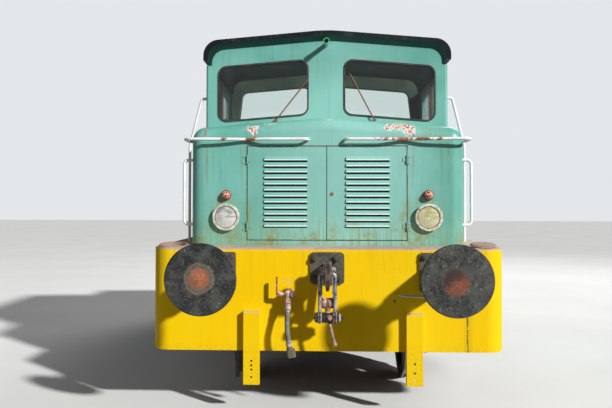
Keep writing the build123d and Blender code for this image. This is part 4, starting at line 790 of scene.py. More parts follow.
@dataclass(frozen=True)
class CouplingIron:
    """Screw coupling: blue-grey bars, brown nut, greasy black foot and pale brown lever."""

    name: str = "coupling_iron"
    steel: Color = paint(182, 182, 184)
    dark: Color = paint(82, 78, 80)
    nut: Color = paint(160, 120, 104)
    lever: Color = paint(164, 138, 116)
    nut_z: float = 0.863
    nut_half: Span = (0.043, 0.042)
    foot_z: float = 0.761
    foot_reach: Span = (-0.044, 0.040)
    lever_reach: Span = (-0.056, -0.048)

    def build(self) -> bpy.types.Material:
        """Make the material.

        Returns:
            The material.
        """
        graph = Graph(self.name, self.steel)
        lumps = graph.noise(22.0, 6.0, 0.6)
        grain = graph.noise(120.0, 6.0, 0.65)
        half_x, half_z = self.nut_half
        foot_low, foot_high = (self.foot_z + reach for reach in self.foot_reach)
        lever_low, lever_high = (self.foot_z + reach for reach in self.lever_reach)
        nut = graph.z.inside(self.nut_z - half_z, self.nut_z + half_z, 0.003)
        nut = nut * graph.across.inside(0.0, half_x, 0.003)
        graph.lay(self.dark, lumps.rise(0.42, 0.62))
        graph.lay(lumps.tones(0.4, 0.6, self.nut, paint(120, 82, 70)), nut)
        greasy = grain.tones(0.4, 0.7, paint(30, 28, 30), paint(70, 66, 68))
        graph.lay(greasy, graph.z.inside(foot_low, foot_high, 0.004))
        graph.lay(lumps.tones(0.45, 0.62, self.lever, self.dark), graph.z.fall(lever_low, lever_high))
        graph.lay(paint(176, 176, 180), graph.edge(0.008, 0.25, 0.6) * 0.35)
        return graph.surface(grain.ramp(0.3, 0.7, 0.42, 0.72), grain, 0.0008, 0.5, Metallic=0.3)


@dataclass(frozen=True)
class Iron:
    """Unpainted iron gone brown, with painted shade in an oil colour in its hollows, and rubbed bright on its
    edges.
    """

    name: str
    color: Color
    rubbed: Color
    rust: float = 0.5
    rough: float = 0.6
    metal: float = 0.4

    def build(self) -> bpy.types.Material:
        """Make the material.

        Returns:
            The material.
        """
        graph = Graph(self.name, self.color)
        grain = graph.noise(120.0, 6.0, 0.65)
        graph.lay(graph.rust(55.0), graph.noise(14.0, 6.0, 0.6).rise(0.4, 0.65) * self.rust)
        graph.lay(self.rubbed, graph.edge(0.008, 0.25, 0.6) * grain.rise(0.4, 0.6) * 0.7)
        # Painted shade: an oil colour in the occluded corners.
        graph.shade_corners(0.03, 0.5)
        graph.lay(Stain.DUST, graph.noise(5.0, 5.0).rise(0.4, 0.7) * 0.35)
        rough = grain.ramp(0.3, 0.7, self.rough - 0.12, self.rough + 0.15)
        height = grain * 0.5 + graph.flakes(160.0).rise(0.0, 0.3) * 0.5
        return graph.surface(rough, height, 0.0008, 0.5, Metallic=self.metal)


@dataclass(frozen=True)
class HookIron:
    """Draw gear: drab plate on the beam, and a dark hook rubbed bright along its ridges, with painted
    highlights there.
    """

    name: str = "hook_iron"
    plate: Color = paint(100, 96, 80)
    hook: Color = paint(44, 39, 41)
    ridge_highlight: Color = paint(196, 180, 172)
    plate_face: float = 2.470

    def build(self) -> bpy.types.Material:
        """Make the material.

        Returns:
            The material.
        """
        graph = Graph(self.name)
        lumps = graph.noise(20.0, 6.0, 0.65)
        grain = graph.noise(120.0, 6.0, 0.7)
        iron = lumps.tones(0.42, 0.62, self.hook, paint(104, 82, 78))
        # Painted highlight along the hook's ridges, which are also rubbed bright.
        edge = graph.edge(0.010, 0.22, 0.50) * lumps.rise(0.38, 0.52)
        iron = (edge * 0.9).colors(iron, self.ridge_highlight)
        graph.color = lumps.tones(0.42, 0.64, self.plate, paint(66, 62, 52))
        graph.lay(paint(140, 134, 116), grain.rise(0.54, 0.68) * 0.6)
        graph.lay(iron, graph.along.rise(self.plate_face, self.plate_face + 0.006))
        # Painted shade: an oil colour in the occluded corners.
        graph.shade_corners(0.04, 0.6)
        rough = grain.ramp(0.3, 0.7, 0.42, 0.72)
        return graph.surface(rough, grain * 0.6 + lumps * 0.4, 0.0010, 0.6, Metallic=0.25)


@dataclass(frozen=True)
class BufferFace:
    """Black buffer head, scuffed and scratched, with the rusty patch where heads have met, darkened by
    painted shade on the right one.
    """

    name: str = "buffer_iron"
    black: Color = paint(26, 27, 31)
    scuff: Color = paint(72, 72, 68)
    face: Span = (3.050, 3.056)
    left_patch: Point = (0.880, 1.087, 0.074)
    right_patch: Point = (0.862, 1.074, 0.098)

    def reach(self, graph: Graph, patch: Point) -> Field:
        """Distance from the middle of a patch, over its radius.

        Args:
            graph: The material's graph.
            patch: Place across, height and radius of the patch.

        Returns:
            The distance, 1 at the patch's rim.
        """
        x, z, radius = patch
        wobble = (graph.noise(13.0, 4.0) - 0.5) * 0.040
        fine = (graph.noise(60.0, 5.0) - 0.5) * 0.026
        return (graph.radius((x, 0.0, z), "y") + (wobble + fine)) / radius

    def build(self) -> bpy.types.Material:
        """Make the material.

        Returns:
            The material.
        """
        graph = Graph(self.name, self.black)
        side = (graph.x * graph.y).rise(-0.2, 0.2)
        away = graph.math("SUBTRACT", 1.0, side)
        lumps = graph.noise(11.0, 6.0, 0.65)
        grain = graph.noise(80.0, 6.0, 0.72)
        graph.lay(self.scuff, (lumps + away * 0.07).rise(0.44, 0.66) * 0.85)
        graph.lay(paint(96, 96, 86), grain.rise(0.50, 0.62) * 0.55)
        marks = graph.streaks((40.0, 40.0, 26.0), 6.0, 0.75) + away * 0.05
        graph.lay(paint(150, 148, 134), marks.rise(0.60, 0.68) * 0.38)
        spots = graph.flakes(30.0).fall(0.08, 0.13) * lumps.rise(0.52, 0.6)
        graph.lay(paint(176, 172, 156), spots * 0.8)
        face = graph.along.rise(*self.face)
        left = self.reach(graph, self.left_patch)
        right = self.reach(graph, self.right_patch)
        ring = left.inside(1.0, 1.34, 0.22) * side * face * grain.rise(0.30, 0.52)
        graph.lay(paint(112, 108, 94), ring * 0.75)
        rim = left.near(1.36, 0.10) * side * face * lumps.rise(0.40, 0.56)
        graph.lay(paint(146, 108, 84), rim * 0.6)
        rust = (left.fall(0.90, 1.04) * side + right.fall(0.70, 1.12) * away) * face
        # Painted shade: the right buffer's rust goes darker towards its top and inner side.
        shade = (grain - 0.5) * 0.30 + (graph.z - graph.across * 0.9)
        orange = lumps.tones(0.4, 0.62, paint(184, 112, 74), paint(142, 92, 68))
        umber = lumps.tones(0.4, 0.62, paint(146, 84, 56), paint(104, 66, 50))
        left_burnt = grain.tones(0.42, 0.62, orange, paint(128, 84, 64))
        right_rust_and_shade = shade.tones(0.24, 0.36, umber, paint(62, 46, 42))
        graph.lay(side.colors(right_rust_and_shade, left_burnt), rust * 0.95)
        graph.lay(self.scuff, graph.edge(0.01, 0.3, 0.6) * grain.rise(0.4, 0.55) * 0.5)
        rough = rust.between(lumps.ramp(0.35, 0.7, 0.36, 0.60), 0.92)
        return graph.surface(rough, grain * 0.5 - rust * 0.4, 0.0008, 0.5)


@dataclass(frozen=True)
class WheelSteel:
    """Wheel: bright tread and flange, brown web and centre, grease round the axle."""

    name: str = "wheel_steel"
    web: Color = paint(66, 50, 42)
    axle: Point = (0.0, 1.25, 0.453)
    grease: Span = (0.12, 0.24)
    tread: Span = (0.413, 0.419)

    def build(self) -> bpy.types.Material:
        """Make the material.

        Returns:
            The material.
        """
        graph = Graph(self.name, self.web)
        reach = graph.radius(self.axle, "x")
        grain = graph.noise(90.0, 6.0, 0.65)
        graph.lay(paint(104, 66, 46), graph.noise(9.0, 6.0, 0.6).rise(0.4, 0.65))
        graph.lay(Stain.DUST, grain.rise(0.5, 0.7) * 0.5)
        graph.lay(Stain.OIL, reach.fall(*self.grease) * 0.7)
        polished = reach.rise(*self.tread)
        graph.lay(grain.tones(0.4, 0.7, paint(150, 146, 140), paint(120, 92, 72)), polished)
        metal = polished.between(0.2, 0.85)
        return graph.surface(polished.between(0.7, 0.34), grain, 0.0008, 0.5, Metallic=metal)


@dataclass(frozen=True)
class LampCase:
    """Chipped pale lamp rim over a silvered bowl that shows through the lens."""

    name: str = "lamp_paint"
    case: Color = paint(226, 224, 208)
    bowl: Color = paint(238, 238, 230)
    centre: Point = (0.823, 0.0, 1.491)
    bowl_rim: Span = (0.088, 0.091)

    def build(self) -> bpy.types.Material:
        """Make the material.

        Returns:
            The material.
        """
        graph = Graph(self.name, self.case)
        grain = graph.noise(60.0, 6.0, 0.7)
        bowl = graph.radius(self.centre, "y").fall(*self.bowl_rim)
        graph.lay(paint(150, 146, 128), graph.noise(24.0, 5.0, 0.6).rise(0.4, 0.6) * 0.6)
        graph.lay(Stain.RUST, graph.noise(34.0, 6.0, 0.75).rise(0.56, 0.62) * 0.8)
        graph.lay(self.bowl, bowl)
        rough = bowl.between(grain.ramp(0.3, 0.7, 0.38, 0.62), 0.16)
        return graph.surface(rough, grain, 0.0005, 0.4, Metallic=bowl.between(0.0, 0.95))


@dataclass(frozen=True)
class LensGlass:
    """Ribbed lamp lens, clear on the left, yellowed on the right, cloudy in patches, and with a painted
    shadow ring round its edge.
    """

    name: str = "lens_glass"
    ribs: float = 520.0
    centre: Point = (0.823, 0.0, 1.491)
    rim: Span = (0.082, 0.088)
    clear_half: Span = (1.455, 1.520)

    def build(self) -> bpy.types.Material:
        """Make the material.

        Returns:
            The material.
        """
        graph = Graph(self.name)
        side = (graph.x * graph.y).rise(-0.2, 0.2)
        cloud = graph.noise(16.0, 5.0).rise(0.45, 0.7)
        graph.color = side.colors(paint(250, 244, 196), paint(250, 252, 246))
        graph.lay(paint(222, 220, 190), cloud * 0.4)
        upper = graph.z.rise(*self.clear_half).between(0.35, 1.0)
        sweep = graph.streaks((14.0, 14.0, 44.0), 4.0, 0.6).rise(0.44, 0.60)
        graph.lay(side.colors(paint(198, 190, 118), paint(150, 154, 142)), sweep * upper * 0.75)
        # Painted shadow: a dark ring round the lens's edge, under the lamp's rim.
        graph.lay(paint(44, 42, 36), graph.radius(self.centre, "y").rise(*self.rim) * 0.85)
        height = graph.math("SINE", graph.x * self.ribs) + graph.noise(40.0) * 0.4
        return graph.surface(
            cloud.between(0.06, 0.35), height, 0.0012, 0.5, Transmission_Weight=0.30, IOR=1.5, Coat_Weight=0.5
        )


@dataclass(frozen=True)
class MarkerLens:
    """Red marker lamp, crazed and flaked to white."""

    name: str = "marker_red"
    body: Span = (2.146, 2.152)
    dome: Span = (2.155, 2.165)

    def build(self) -> bpy.types.Material:
        """Make the material.

        Returns:
            The material.
        """
        graph = Graph(self.name)
        lumps = graph.noise(76.0, 6.0, 0.62)
        flakes = lumps.rise(0.49, 0.54)
        dome = graph.along.rise(*self.dome)
        graph.color = graph.noise(30.0, 4.0).tones(0.35, 0.65, paint(176, 38, 30), paint(140, 50, 40))
        graph.lay(paint(240, 206, 186), flakes * dome * 0.85)
        graph.lay(paint(222, 200, 110), lumps.rise(0.58, 0.62) * dome)
        graph.lay(paint(112, 50, 38), graph.along.fall(*self.body) * 0.8)
        return graph.surface(flakes.between(0.28, 0.7), lumps, 0.0008, 0.5, Coat_Weight=0.2)


@dataclass(frozen=True)
class WindowPane:
    """Clear pane, smeared with dust."""

    name: str = "window_glass"
    tint: Color = (0.88, 0.95, 0.93, 1.0)

    def build(self) -> bpy.types.Material:
        """Make the material.

        Returns:
            The material.
        """
        graph = Graph(self.name, self.tint)
        rough = graph.noise(5.0, 6.0, 0.65).rise(0.45, 0.8).between(0.01, 0.09)
        return graph.surface(rough, Transmission_Weight=1.0, IOR=1.45, Specular_IOR_Level=0.22)


@dataclass(frozen=True)
class Rubber:
    """Black rubber gone grey, dusty and cracked."""

    name: str
    color: Color
    worn: Color
    scale: float = 60.0

    def build(self) -> bpy.types.Material:
        """Make the material.

        Returns:
            The material.
        """
        graph = Graph(self.name, self.color)
        lumps = graph.noise(self.scale / 4, 5.0, 0.6)
        grain = graph.noise(self.scale * 3, 6.0, 0.7)
        graph.lay(self.worn, lumps.rise(0.38, 0.68))
        graph.lay(Stain.DUST, grain.rise(0.5, 0.7) * 0.4)
        return graph.surface(lumps.ramp(0.3, 0.7, 0.62, 0.85), grain, 0.0008, 0.6)


@dataclass(frozen=True)
class Timber:
    """Varnished brown wood with grain along its length."""

    name: str = "frame_wood"
    color: Color = paint(96, 58, 34)
    pale: Color = paint(146, 98, 60)

    def build(self) -> bpy.types.Material:
        """Make the material.

        Returns:
            The material.
        """
        graph = Graph(self.name, self.color)
        grain = graph.streaks((90.0, 90.0, 7.0), 6.0, 0.7)
        graph.lay(self.pale, grain.rise(0.35, 0.68))
        graph.lay(Stain.SOOT, graph.noise(9.0, 5.0).rise(0.5, 0.7) * 0.5)
        return graph.surface(grain.ramp(0.3, 0.7, 0.42, 0.66), grain, 0.0006, 0.5)


@dataclass(frozen=True)
class Leather:
    """Creased seat cover, shiny where it is sat on."""

    name: str = "seat_cover"
    color: Color = paint(44, 36, 32)
    shine: Color = paint(74, 58, 48)

    def build(self) -> bpy.types.Material:
        """Make the material.

        Returns:
            The material.
        """
        graph = Graph(self.name, self.color)
        creases = graph.noise(26.0, 6.0, 0.6)
        graph.lay(self.shine, creases.rise(0.4, 0.7))
        height = creases + graph.flakes(300.0) * 0.3
        return graph.surface(creases.ramp(0.3, 0.7, 0.34, 0.6), height, 0.0015, 0.6)


OWN_KINDS = (
    BodyPaint, BeamPaint, RoofPaint, RailPaint, CockPaint, CouplingIron, HookIron, BufferFace, WheelSteel,
    LampCase, LensGlass, MarkerLens, WindowPane, Timber, Leather,
)
PAINTS = (
    WornPaint(
        "frame_paint", paint(36, 35, 34), paint(56, 52, 47), fade=0.7, rust=0.5, dust=0.75, rough=0.62
    ),
    WornPaint(
        "deck_paint", paint(196, 172, 156), paint(214, 198, 182), fade=0.8, dust=0.5, dust_top=1.0,
        rough=0.72, chip_scale=12.0,
    ),
    WornPaint("horn_paint", paint(112, 196, 166), paint(146, 218, 190), rust=0.2, dust=0.1, rough=0.4),
    WornPaint("engine_paint", paint(96, 100, 100), paint(122, 124, 120), rust=0.2, dust=0.7, dust_top=2.2),
    WornPaint("desk_paint", paint(118, 132, 120), paint(134, 146, 134), rust=0.1, dust=0.3, dust_top=1.8),
    WornPaint("battery_case", paint(34, 34, 36), paint(52, 52, 54), rust=0.05, dust=0.8, dust_top=2.0),
)
IRONS = (
    Iron("nut_iron", paint(44, 42, 38), paint(92, 86, 76), rust=0.08, metal=0.1),
    Iron("hose_head", paint(104, 102, 86), paint(168, 164, 144), rust=0.15, metal=0.1),
    Iron("draw_iron", paint(88, 84, 70), paint(150, 146, 132), rust=0.20),
    Iron("clamp_steel", paint(196, 186, 170), paint(236, 228, 216), rust=0.3, metal=0.1),
    Iron("rod_steel", paint(168, 176, 182), paint(222, 226, 228), rust=0.12, rough=0.42),
    Iron("spring_steel", paint(44, 38, 34), paint(110, 100, 90), rust=0.4),
    Iron("lid_iron", paint(158, 128, 116), paint(206, 186, 174), rust=0.35, metal=0.0),
    Iron("axle_steel", paint(70, 58, 50), paint(150, 140, 130), rust=0.4),
    Iron("wiper_steel", paint(122, 82, 62), paint(170, 124, 98), rust=0.6, metal=0.1),
    Iron("exhaust_steel", paint(44, 34, 30), paint(96, 70, 56)),
)
RUBBERS = (
    Rubber("seal_rubber", paint(34, 34, 32), paint(84, 70, 60)),
    Rubber("hose_rubber", paint(104, 102, 96), paint(136, 132, 122), 90.0),
)


class Finishes:
    """All materials of the locomotive, each made once under its name.

    Most names are those of the record's material slots, and a few nodes have a finish of their own.
    """

    own_finish: dict[str, str] = {
        "brake_cocks": "cock_paint",
        "screw_couplings": "coupling_iron",
        "grab_rods": "rod_steel",
        "draw_gear": "hook_iron",
        "hose_coupling": "hose_head",
    }

    def __init__(self) -> None:
        """Make the materials."""
        chosen = (*(kind() for kind in OWN_KINDS), *PAINTS, *IRONS, *RUBBERS)
        self.made = {finish.name: finish.build() for finish in chosen}

    def dress(self, frame: dict) -> None:
        """Give each node of the frame its own finish, or else that of its slot.

        Args:
            frame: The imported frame.
        """
        slots = {part["node"]: part["material_slot"] for part in frame["record"]["subparts"]}
        for name, node in frame["nodes"].items():
            finish = self.made[self.own_finish.get(name, slots[name])]
            if not node.material_slots:
                node.data.materials.append(finish)
            for place in node.material_slots:
                place.material = finish
        LOG.info("finishes on %d nodes", len(frame["nodes"]))


@dataclass(frozen=True)
class Studio:
    """Pale floor and background, soft lamps and the camera at the photograph's place."""

    camera_at: Point = (-0.0543, -7.7326, 1.5956)
    turn_left: float = 2.235
    look_up: float = 1.260
    roll: float = 0.103
    focal_pixels: float = 685.84
    middle_pixels: Span = (293.33, 189.28)
    sensor: float = 36.0
    sight: float = 400.0
    floor_half: float = 60.0
    backdrop: Color = paint(228, 231, 234)
    floor_bounce: Color = paint(98, 96, 90)
    lit_at: Point = (0.0, -0.6, 1.4)
    sun_way: Point = (9.2, -8.4, 6.8)
    sun_spread: float = 3.0
    sun_level: float = 1.36
    fill_way: Point = (-9.0, -9.0, 5.0)
    fill_level: float = 0.06
    rear_way: Point = (6.0, 9.0, 9.0)
    rear_level: float = 0.30
    under_eaves: tuple[str, ...] = ("cab_end_walls", "horn", "window_seals", "wipers")
    sky: Color = (0.94, 0.97, 1.0, 1.0)
    ambient: float = 0.11

    def make_camera(self) -> None:
        """Put the camera where the photograph was taken."""
        data = bpy.data.cameras.new("camera")
        data.sensor_width = self.sensor
        data.lens = self.focal_pixels / PHOTO_WIDTH * self.sensor
        data.shift_x = (PHOTO_WIDTH / 2 - self.middle_pixels[0]) / PHOTO_WIDTH
        data.shift_y = (self.middle_pixels[1] - PHOTO_HEIGHT / 2) / PHOTO_WIDTH
        data.clip_end = self.sight
        place = Matrix.Translation(self.camera_at)
        for degrees, axis in ((self.turn_left, "Z"), (90.0 + self.look_up, "X"), (self.roll, "Z")):
            place = place @ Matrix.Rotation(math.radians(degrees), 4, axis)
        camera = add_object("camera", data)
        camera.matrix_world = place
        bpy.context.scene.camera = camera

    def aim(self, name: str, data: bpy.types.Light, away: Point) -> bpy.types.Object:
        """Add a lamp that shines back along a direction.

        Args:
            name: Name of the lamp.
            data: Its light.
            away: Direction towards the lamp.

        Returns:
            The lamp.
        """
        lamp = add_object(name, data)
        lamp.rotation_mode = "QUATERNION"
        lamp.rotation_quaternion = Vector(away).to_track_quat("Z", "Y")
        return lamp

    def make_lamp(self, name: str, away: Point, size: float, level: float) -> None:
        """Add a soft square lamp aimed at the middle of the locomotive.

        Args:
            name: Name of the lamp.
            away: Place of the lamp, from the point that it lights.
            size: Side of the lamp.
            level: Brightness that it gives a white surface facing it.
        """
        data = bpy.data.lights.new(name, "AREA")
        data.shape = "SQUARE"
        data.size = size
        data.energy = level * math.pi**2 * Vector(away).length_squared
        self.aim(name, data, away).location = Vector(self.lit_at) + Vector(away)

    def make_sun(self, name: str) -> bpy.types.Object:
        """Add the even main light, the same all over the floor.

        Args:
            name: Name of the lamp.

        Returns:
            The lamp.
        """
        data = bpy.data.lights.new(name, "SUN")
        data.angle = math.radians(self.sun_spread)
        data.energy = self.sun_level * math.pi
        return self.aim(name, data, self.sun_way)

    def choose(self, name: str, nodes: tuple[str, ...], state: str) -> bpy.types.Collection:
        """Gather nodes for the light linking of a lamp.

        Args:
            name: Name of the collection.
            nodes: Names of the nodes.
            state: INCLUDE or EXCLUDE.

        Returns:
            The collection.
        """
        chosen = bpy.data.collections.new(name)
        for node in nodes:
            chosen.objects.link(bpy.data.objects[node])
        for entry in chosen.collection_objects:
            entry.light_linking.link_state = state
        return chosen

    def make_suns(self) -> None:
        """Split the sun in two, so that it reaches the cab's end wall past the edge of the roof."""
        key = self.make_sun("key_lamp").light_linking
        eaves = self.make_sun("eaves_lamp").light_linking
        key.receiver_collection = self.choose("beyond_eaves", self.under_eaves, "EXCLUDE")
        eaves.receiver_collection = self.choose("under_eaves", self.under_eaves, "INCLUDE")
        eaves.blocker_collection = self.choose("roof_edge", ("cab_roof",), "EXCLUDE")

    def make_floor(self) -> None:
        """Lay the pale floor under the flanges."""
        mesh = bmesh.new()
        bmesh.ops.create_grid(mesh, x_segments=1, y_segments=1, size=self.floor_half)
        data = bpy.data.meshes.new("floor")
        mesh.to_mesh(data)
        mesh.free()
        graph = Graph("floor_finish", self.floor_bounce)
        tone = graph.noise(0.6, 4.0).tones(0.3, 0.7, paint(236, 236, 233), paint(242, 242, 239))
        rays = ("Is Camera Ray", "Is Glossy Ray", "Is Transmission Ray")
        graph.lay(tone, graph.most(*(graph.output("LightPath", ray, {}) for ray in rays)))
        data.materials.append(graph.surface(0.85))
        add_object("floor", data)

    def make_world(self) -> None:
        """Light the scene from all round, and show a pale background behind it."""
        world = bpy.data.worlds.new("studio")
        world.use_nodes = True
        tree = world.node_tree
        tree.nodes.clear()
        kinds = ("LightPath", "Math", "Background", "Background", "MixShader", "OutputWorld")
        rays, seen, shown, soft, blend, output = (tree.nodes.new("ShaderNode" + kind) for kind in kinds)
        seen.operation = "MAXIMUM"
        shown.inputs["Color"].default_value = self.backdrop
        soft.inputs["Color"].default_value = self.sky
        soft.inputs["Strength"].default_value = self.ambient
        for source, socket in (
            (rays.outputs["Is Camera Ray"], seen.inputs[0]),
            (rays.outputs["Is Transmission Ray"], seen.inputs[1]),
            (seen.outputs[0], blend.inputs[0]),
            (soft.outputs[0], blend.inputs[1]),
            (shown.outputs[0], blend.inputs[2]),
            (blend.outputs[0], output.inputs[0]),
        ):
            tree.links.new(source, socket)
        bpy.context.scene.world = world

    def build(self) -> None:
        """Set up camera, lamps, floor and background."""
        self.make_camera()
        self.make_suns()
        self.make_lamp("fill_lamp", self.fill_way, 7.0, self.fill_level)
        self.make_lamp("rear_lamp", self.rear_way, 6.0, self.rear_level)
        self.make_floor()
        self.make_world()
        LOG.info("studio: camera, lamps, floor and background")


class Piece:
    """A mesh piece in the making, kept in the frame's own coordinates."""

    def __init__(self, name: str) -> None:
        """Start an empty piece.

        Args:
            name: Name of its object.
        """
        self.name = name
        self.mesh = bmesh.new()

    def cone(
        self, at: Vector, way: Vector, low: float, high: float, length: float, sides: int, turn: float = 0.0
    ) -> None:
        """Add a closed cone, cylinder or prism.

        Args:
            at: Centre of its foot.
            way: Direction of its axis.
            low: Radius at the foot.
            high: Radius at the far end.
            length: Height.
            sides: Number of sides.
            turn: Turn about the axis.
        """
        way = Vector(way).normalized()
        place = Matrix.Translation(Vector(at) + way * (length / 2))
        place = place @ way.to_track_quat("Z", "Y").to_matrix().to_4x4() @ Matrix.Rotation(turn, 4, "Z")
        bmesh.ops.create_cone(
            self.mesh, cap_ends=True, cap_tris=False, segments=sides, radius1=low, radius2=high,
            depth=length, matrix=place,
        )

    def stack(self, at: Vector, way: Vector, sides: int, *steps: Point) -> None:
        """Add cones one upon another.

        Args:
            at: Centre of the lowest one's foot.
            way: Direction of their axis.
            sides: Number of sides.
            *steps: Radius at the foot, radius at the far end and height of each.
        """
        for low, high, length in steps:
            self.cone(at, way, low, high, length, sides)
            at = at + way * length

    def bolt(
        self, at: Vector, way: Vector, across_flats: float, turn: float = 0.0, stud: bool = True
    ) -> None:
        """Add a washer, a chamfered six-sided nut and the end of its stud.

        Args:
            at: Place of the bolt on the surface that it holds.
            way: Direction away from the surface.
            across_flats: Size of the nut over two flats.
            turn: Turn of the nut.
            stud: Whether the stud's end shows.
        """
        at, way = Vector(at), Vector(way).normalized()
        corner = across_flats / 2 / math.cos(math.pi / 6)
        washer = across_flats * 0.09
        self.cone(at, way, across_flats * 0.66, across_flats * 0.62, washer, 14)
        self.cone(at + way * washer, way, corner, corner, across_flats * 0.42, 6, turn)
        top = at + way * (washer + across_flats * 0.42)
        self.cone(top, way, corner, corner * 0.84, across_flats * 0.08, 6, turn)
        if stud:
            self.cone(top, way, across_flats * 0.3, across_flats * 0.24, across_flats * 0.3, 10)

    def rivet(self, at: Vector, way: Vector, radius: float) -> None:
        """Add a round rivet head.

        Args:
            at: Centre of its foot.
            way: Direction away from the surface.
            radius: Radius of the head.
        """
        shoulder = (radius, radius * 0.82, radius * 0.36)
        crown = (radius * 0.82, radius * 0.34, radius * 0.28)
        self.stack(Vector(at), Vector(way).normalized(), 10, shoulder, crown)

    def block(self, low: Point, high: Point, edge: float) -> None:
        """Add a box between two corners, its edges rounded.

        Args:
            low: Lowest corner.
            high: Highest corner.
            edge: Radius of its edges.
        """
        middle = (Vector(low) + Vector(high)) / 2
        size = Vector(high) - Vector(low)
        place = Matrix.Translation(middle) @ Matrix.Diagonal((*size, 1.0))
        made = bmesh.ops.create_cube(self.mesh, size=1.0, matrix=place)
        edges = list({line for vertex in made["verts"] for line in vertex.link_edges})
        bmesh.ops.bevel(
            self.mesh, geom=edges, offset=edge, segments=2, affect="EDGES", profile=0.5, material=-1
        )

    def publish(self, finish: bpy.types.Material) -> bpy.types.Object:
        """Turn the piece into an object that rides on the locomotive.

        Args:
            finish: Its material.

        Returns:
            The object.
        """
        bmesh.ops.recalc_face_normals(self.mesh, faces=self.mesh.faces)
        data = bpy.data.meshes.new(self.name)
        self.mesh.to_mesh(data)
        self.mesh.free()
        data.materials.append(finish)
        piece = add_object(self.name, data)
        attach(piece, LOCOMOTIVE)
        LOG.info("%s: %d faces", self.name, len(data.polygons))
        return piece


@dataclass(frozen=True)
class BrakeHose:
    """The air hose that hangs from the brake cock, with its clips."""

    route: tuple[Point, ...] = (
        (-0.297, -2.560, 0.816),
        (-0.301, -2.585, 0.735),
        (-0.299, -2.601, 0.645),
        (-0.285, -2.593, 0.550),
    )
    diameter: float = 0.038
    clip: Point = (0.0245, 0.0245, 0.024)
    collar: Point = (0.0212, 0.0212, 0.006)
    collar_from_end: float = 0.022

    def make_hose(self, finish: bpy.types.Material) -> bpy.types.Object:
        """Args:
            finish: Rubber of the hose.

        Returns:
            The hose.
        """
        data = bpy.data.curves.new("air_hose", "CURVE")
        data.dimensions = "3D"
        data.resolution_u = 16
        data.bevel_depth = self.diameter / 2
        data.bevel_resolution = 6
        data.use_fill_caps = True
        spline = data.splines.new("NURBS")
        spline.points.add(len(self.route) - 1)
        for point, place in zip(spline.points, self.route):
            point.co = (*place, 1.0)
        spline.order_u = 3
        spline.use_endpoint_u = True
        data.materials.append(finish)
        hose = add_object("air_hose", data)
        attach(hose, LOCOMOTIVE)
        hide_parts("brake_hose")
        return hose

    def build(self, finishes: Finishes, frame: dict) -> None:
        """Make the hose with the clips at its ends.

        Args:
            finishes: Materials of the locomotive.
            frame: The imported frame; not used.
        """
        hose = self.make_hose(finishes.made["hose_rubber"])
        clips = Piece("hose_clips")
        for end, inner in ((0, 1), (-1, -2)):
            start = Vector(self.route[end])
            way = (Vector(self.route[inner]) - start).normalized()
            clips.stack(start - way * (self.clip[2] / 2), way, 28, self.clip)
            clips.stack(start + way * self.collar_from_end, way, 28, self.collar)
        clip_piece = clips.publish(finishes.made["clamp_steel"])
        steps = zip(self.route, self.route[1:])
        length = sum((Vector(after) - Vector(before)).length for before, after in steps)
        LOG.info("air hose: %.3f m", length)


@dataclass(frozen=True)
class EndFittings:
    """Nuts on the buffer plates and draw plates, and screws round the lamps, of both ends."""

    buffer_at: Point = (0.875, 2.470, 1.078)
    buffer_bolts: Span = (0.138, 0.114)
    buffer_nut: float = 0.036
    draw_face: float = 2.466
    draw_z: float = 1.107
    draw_bolts: tuple[Span, ...] = ((-0.098, 0.074), (0.070, 0.074), (-0.098, -0.080), (0.094, -0.080))
    draw_nut: float = 0.044
    lamp_at: Point = (0.823, 2.166, 1.491)
    lamp_ring: float = 0.106
    lamp_angles: Point = (0.5, 2.6, 4.7)
    lamp_screw: float = 0.0055

    def build(self, finishes: Finishes) -> None:
        """Make the nuts and screws of both ends.

        Args:
            finishes: Materials of the locomotive.
        """
        nuts = Piece("end_nuts")
        screws = Piece("lamp_screws")
        buffer_x, face, buffer_z = self.buffer_at
        lamp_x, lamp_y, lamp_z = self.lamp_at
        bolt_x, bolt_z = self.buffer_bolts
        for end in BOTH_SIDES:
            way = Vector((0.0, end, 0.0))
            for side in BOTH_SIDES:
                for x in (-bolt_x, bolt_x):
                    for z in (-bolt_z, bolt_z):
                        at = (side * buffer_x + x, end * face, buffer_z + z)
                        nuts.bolt(at, way, self.buffer_nut, 0.4 + x * 3.0 + z * 5.0)
                for angle in self.lamp_angles:
                    x, z = self.lamp_ring * math.cos(angle), self.lamp_ring * math.sin(angle)
                    screws.rivet((side * lamp_x + x, end * lamp_y, lamp_z + z), way, self.lamp_screw)
            for x, z in self.draw_bolts:
                at = (-end * x, end * self.draw_face, self.draw_z + z)
                nuts.bolt(at, way, self.draw_nut, x * 9.0 + 0.2)
        nuts.publish(finishes.made["nut_iron"])
        screws.publish(finishes.made["lamp_paint"])


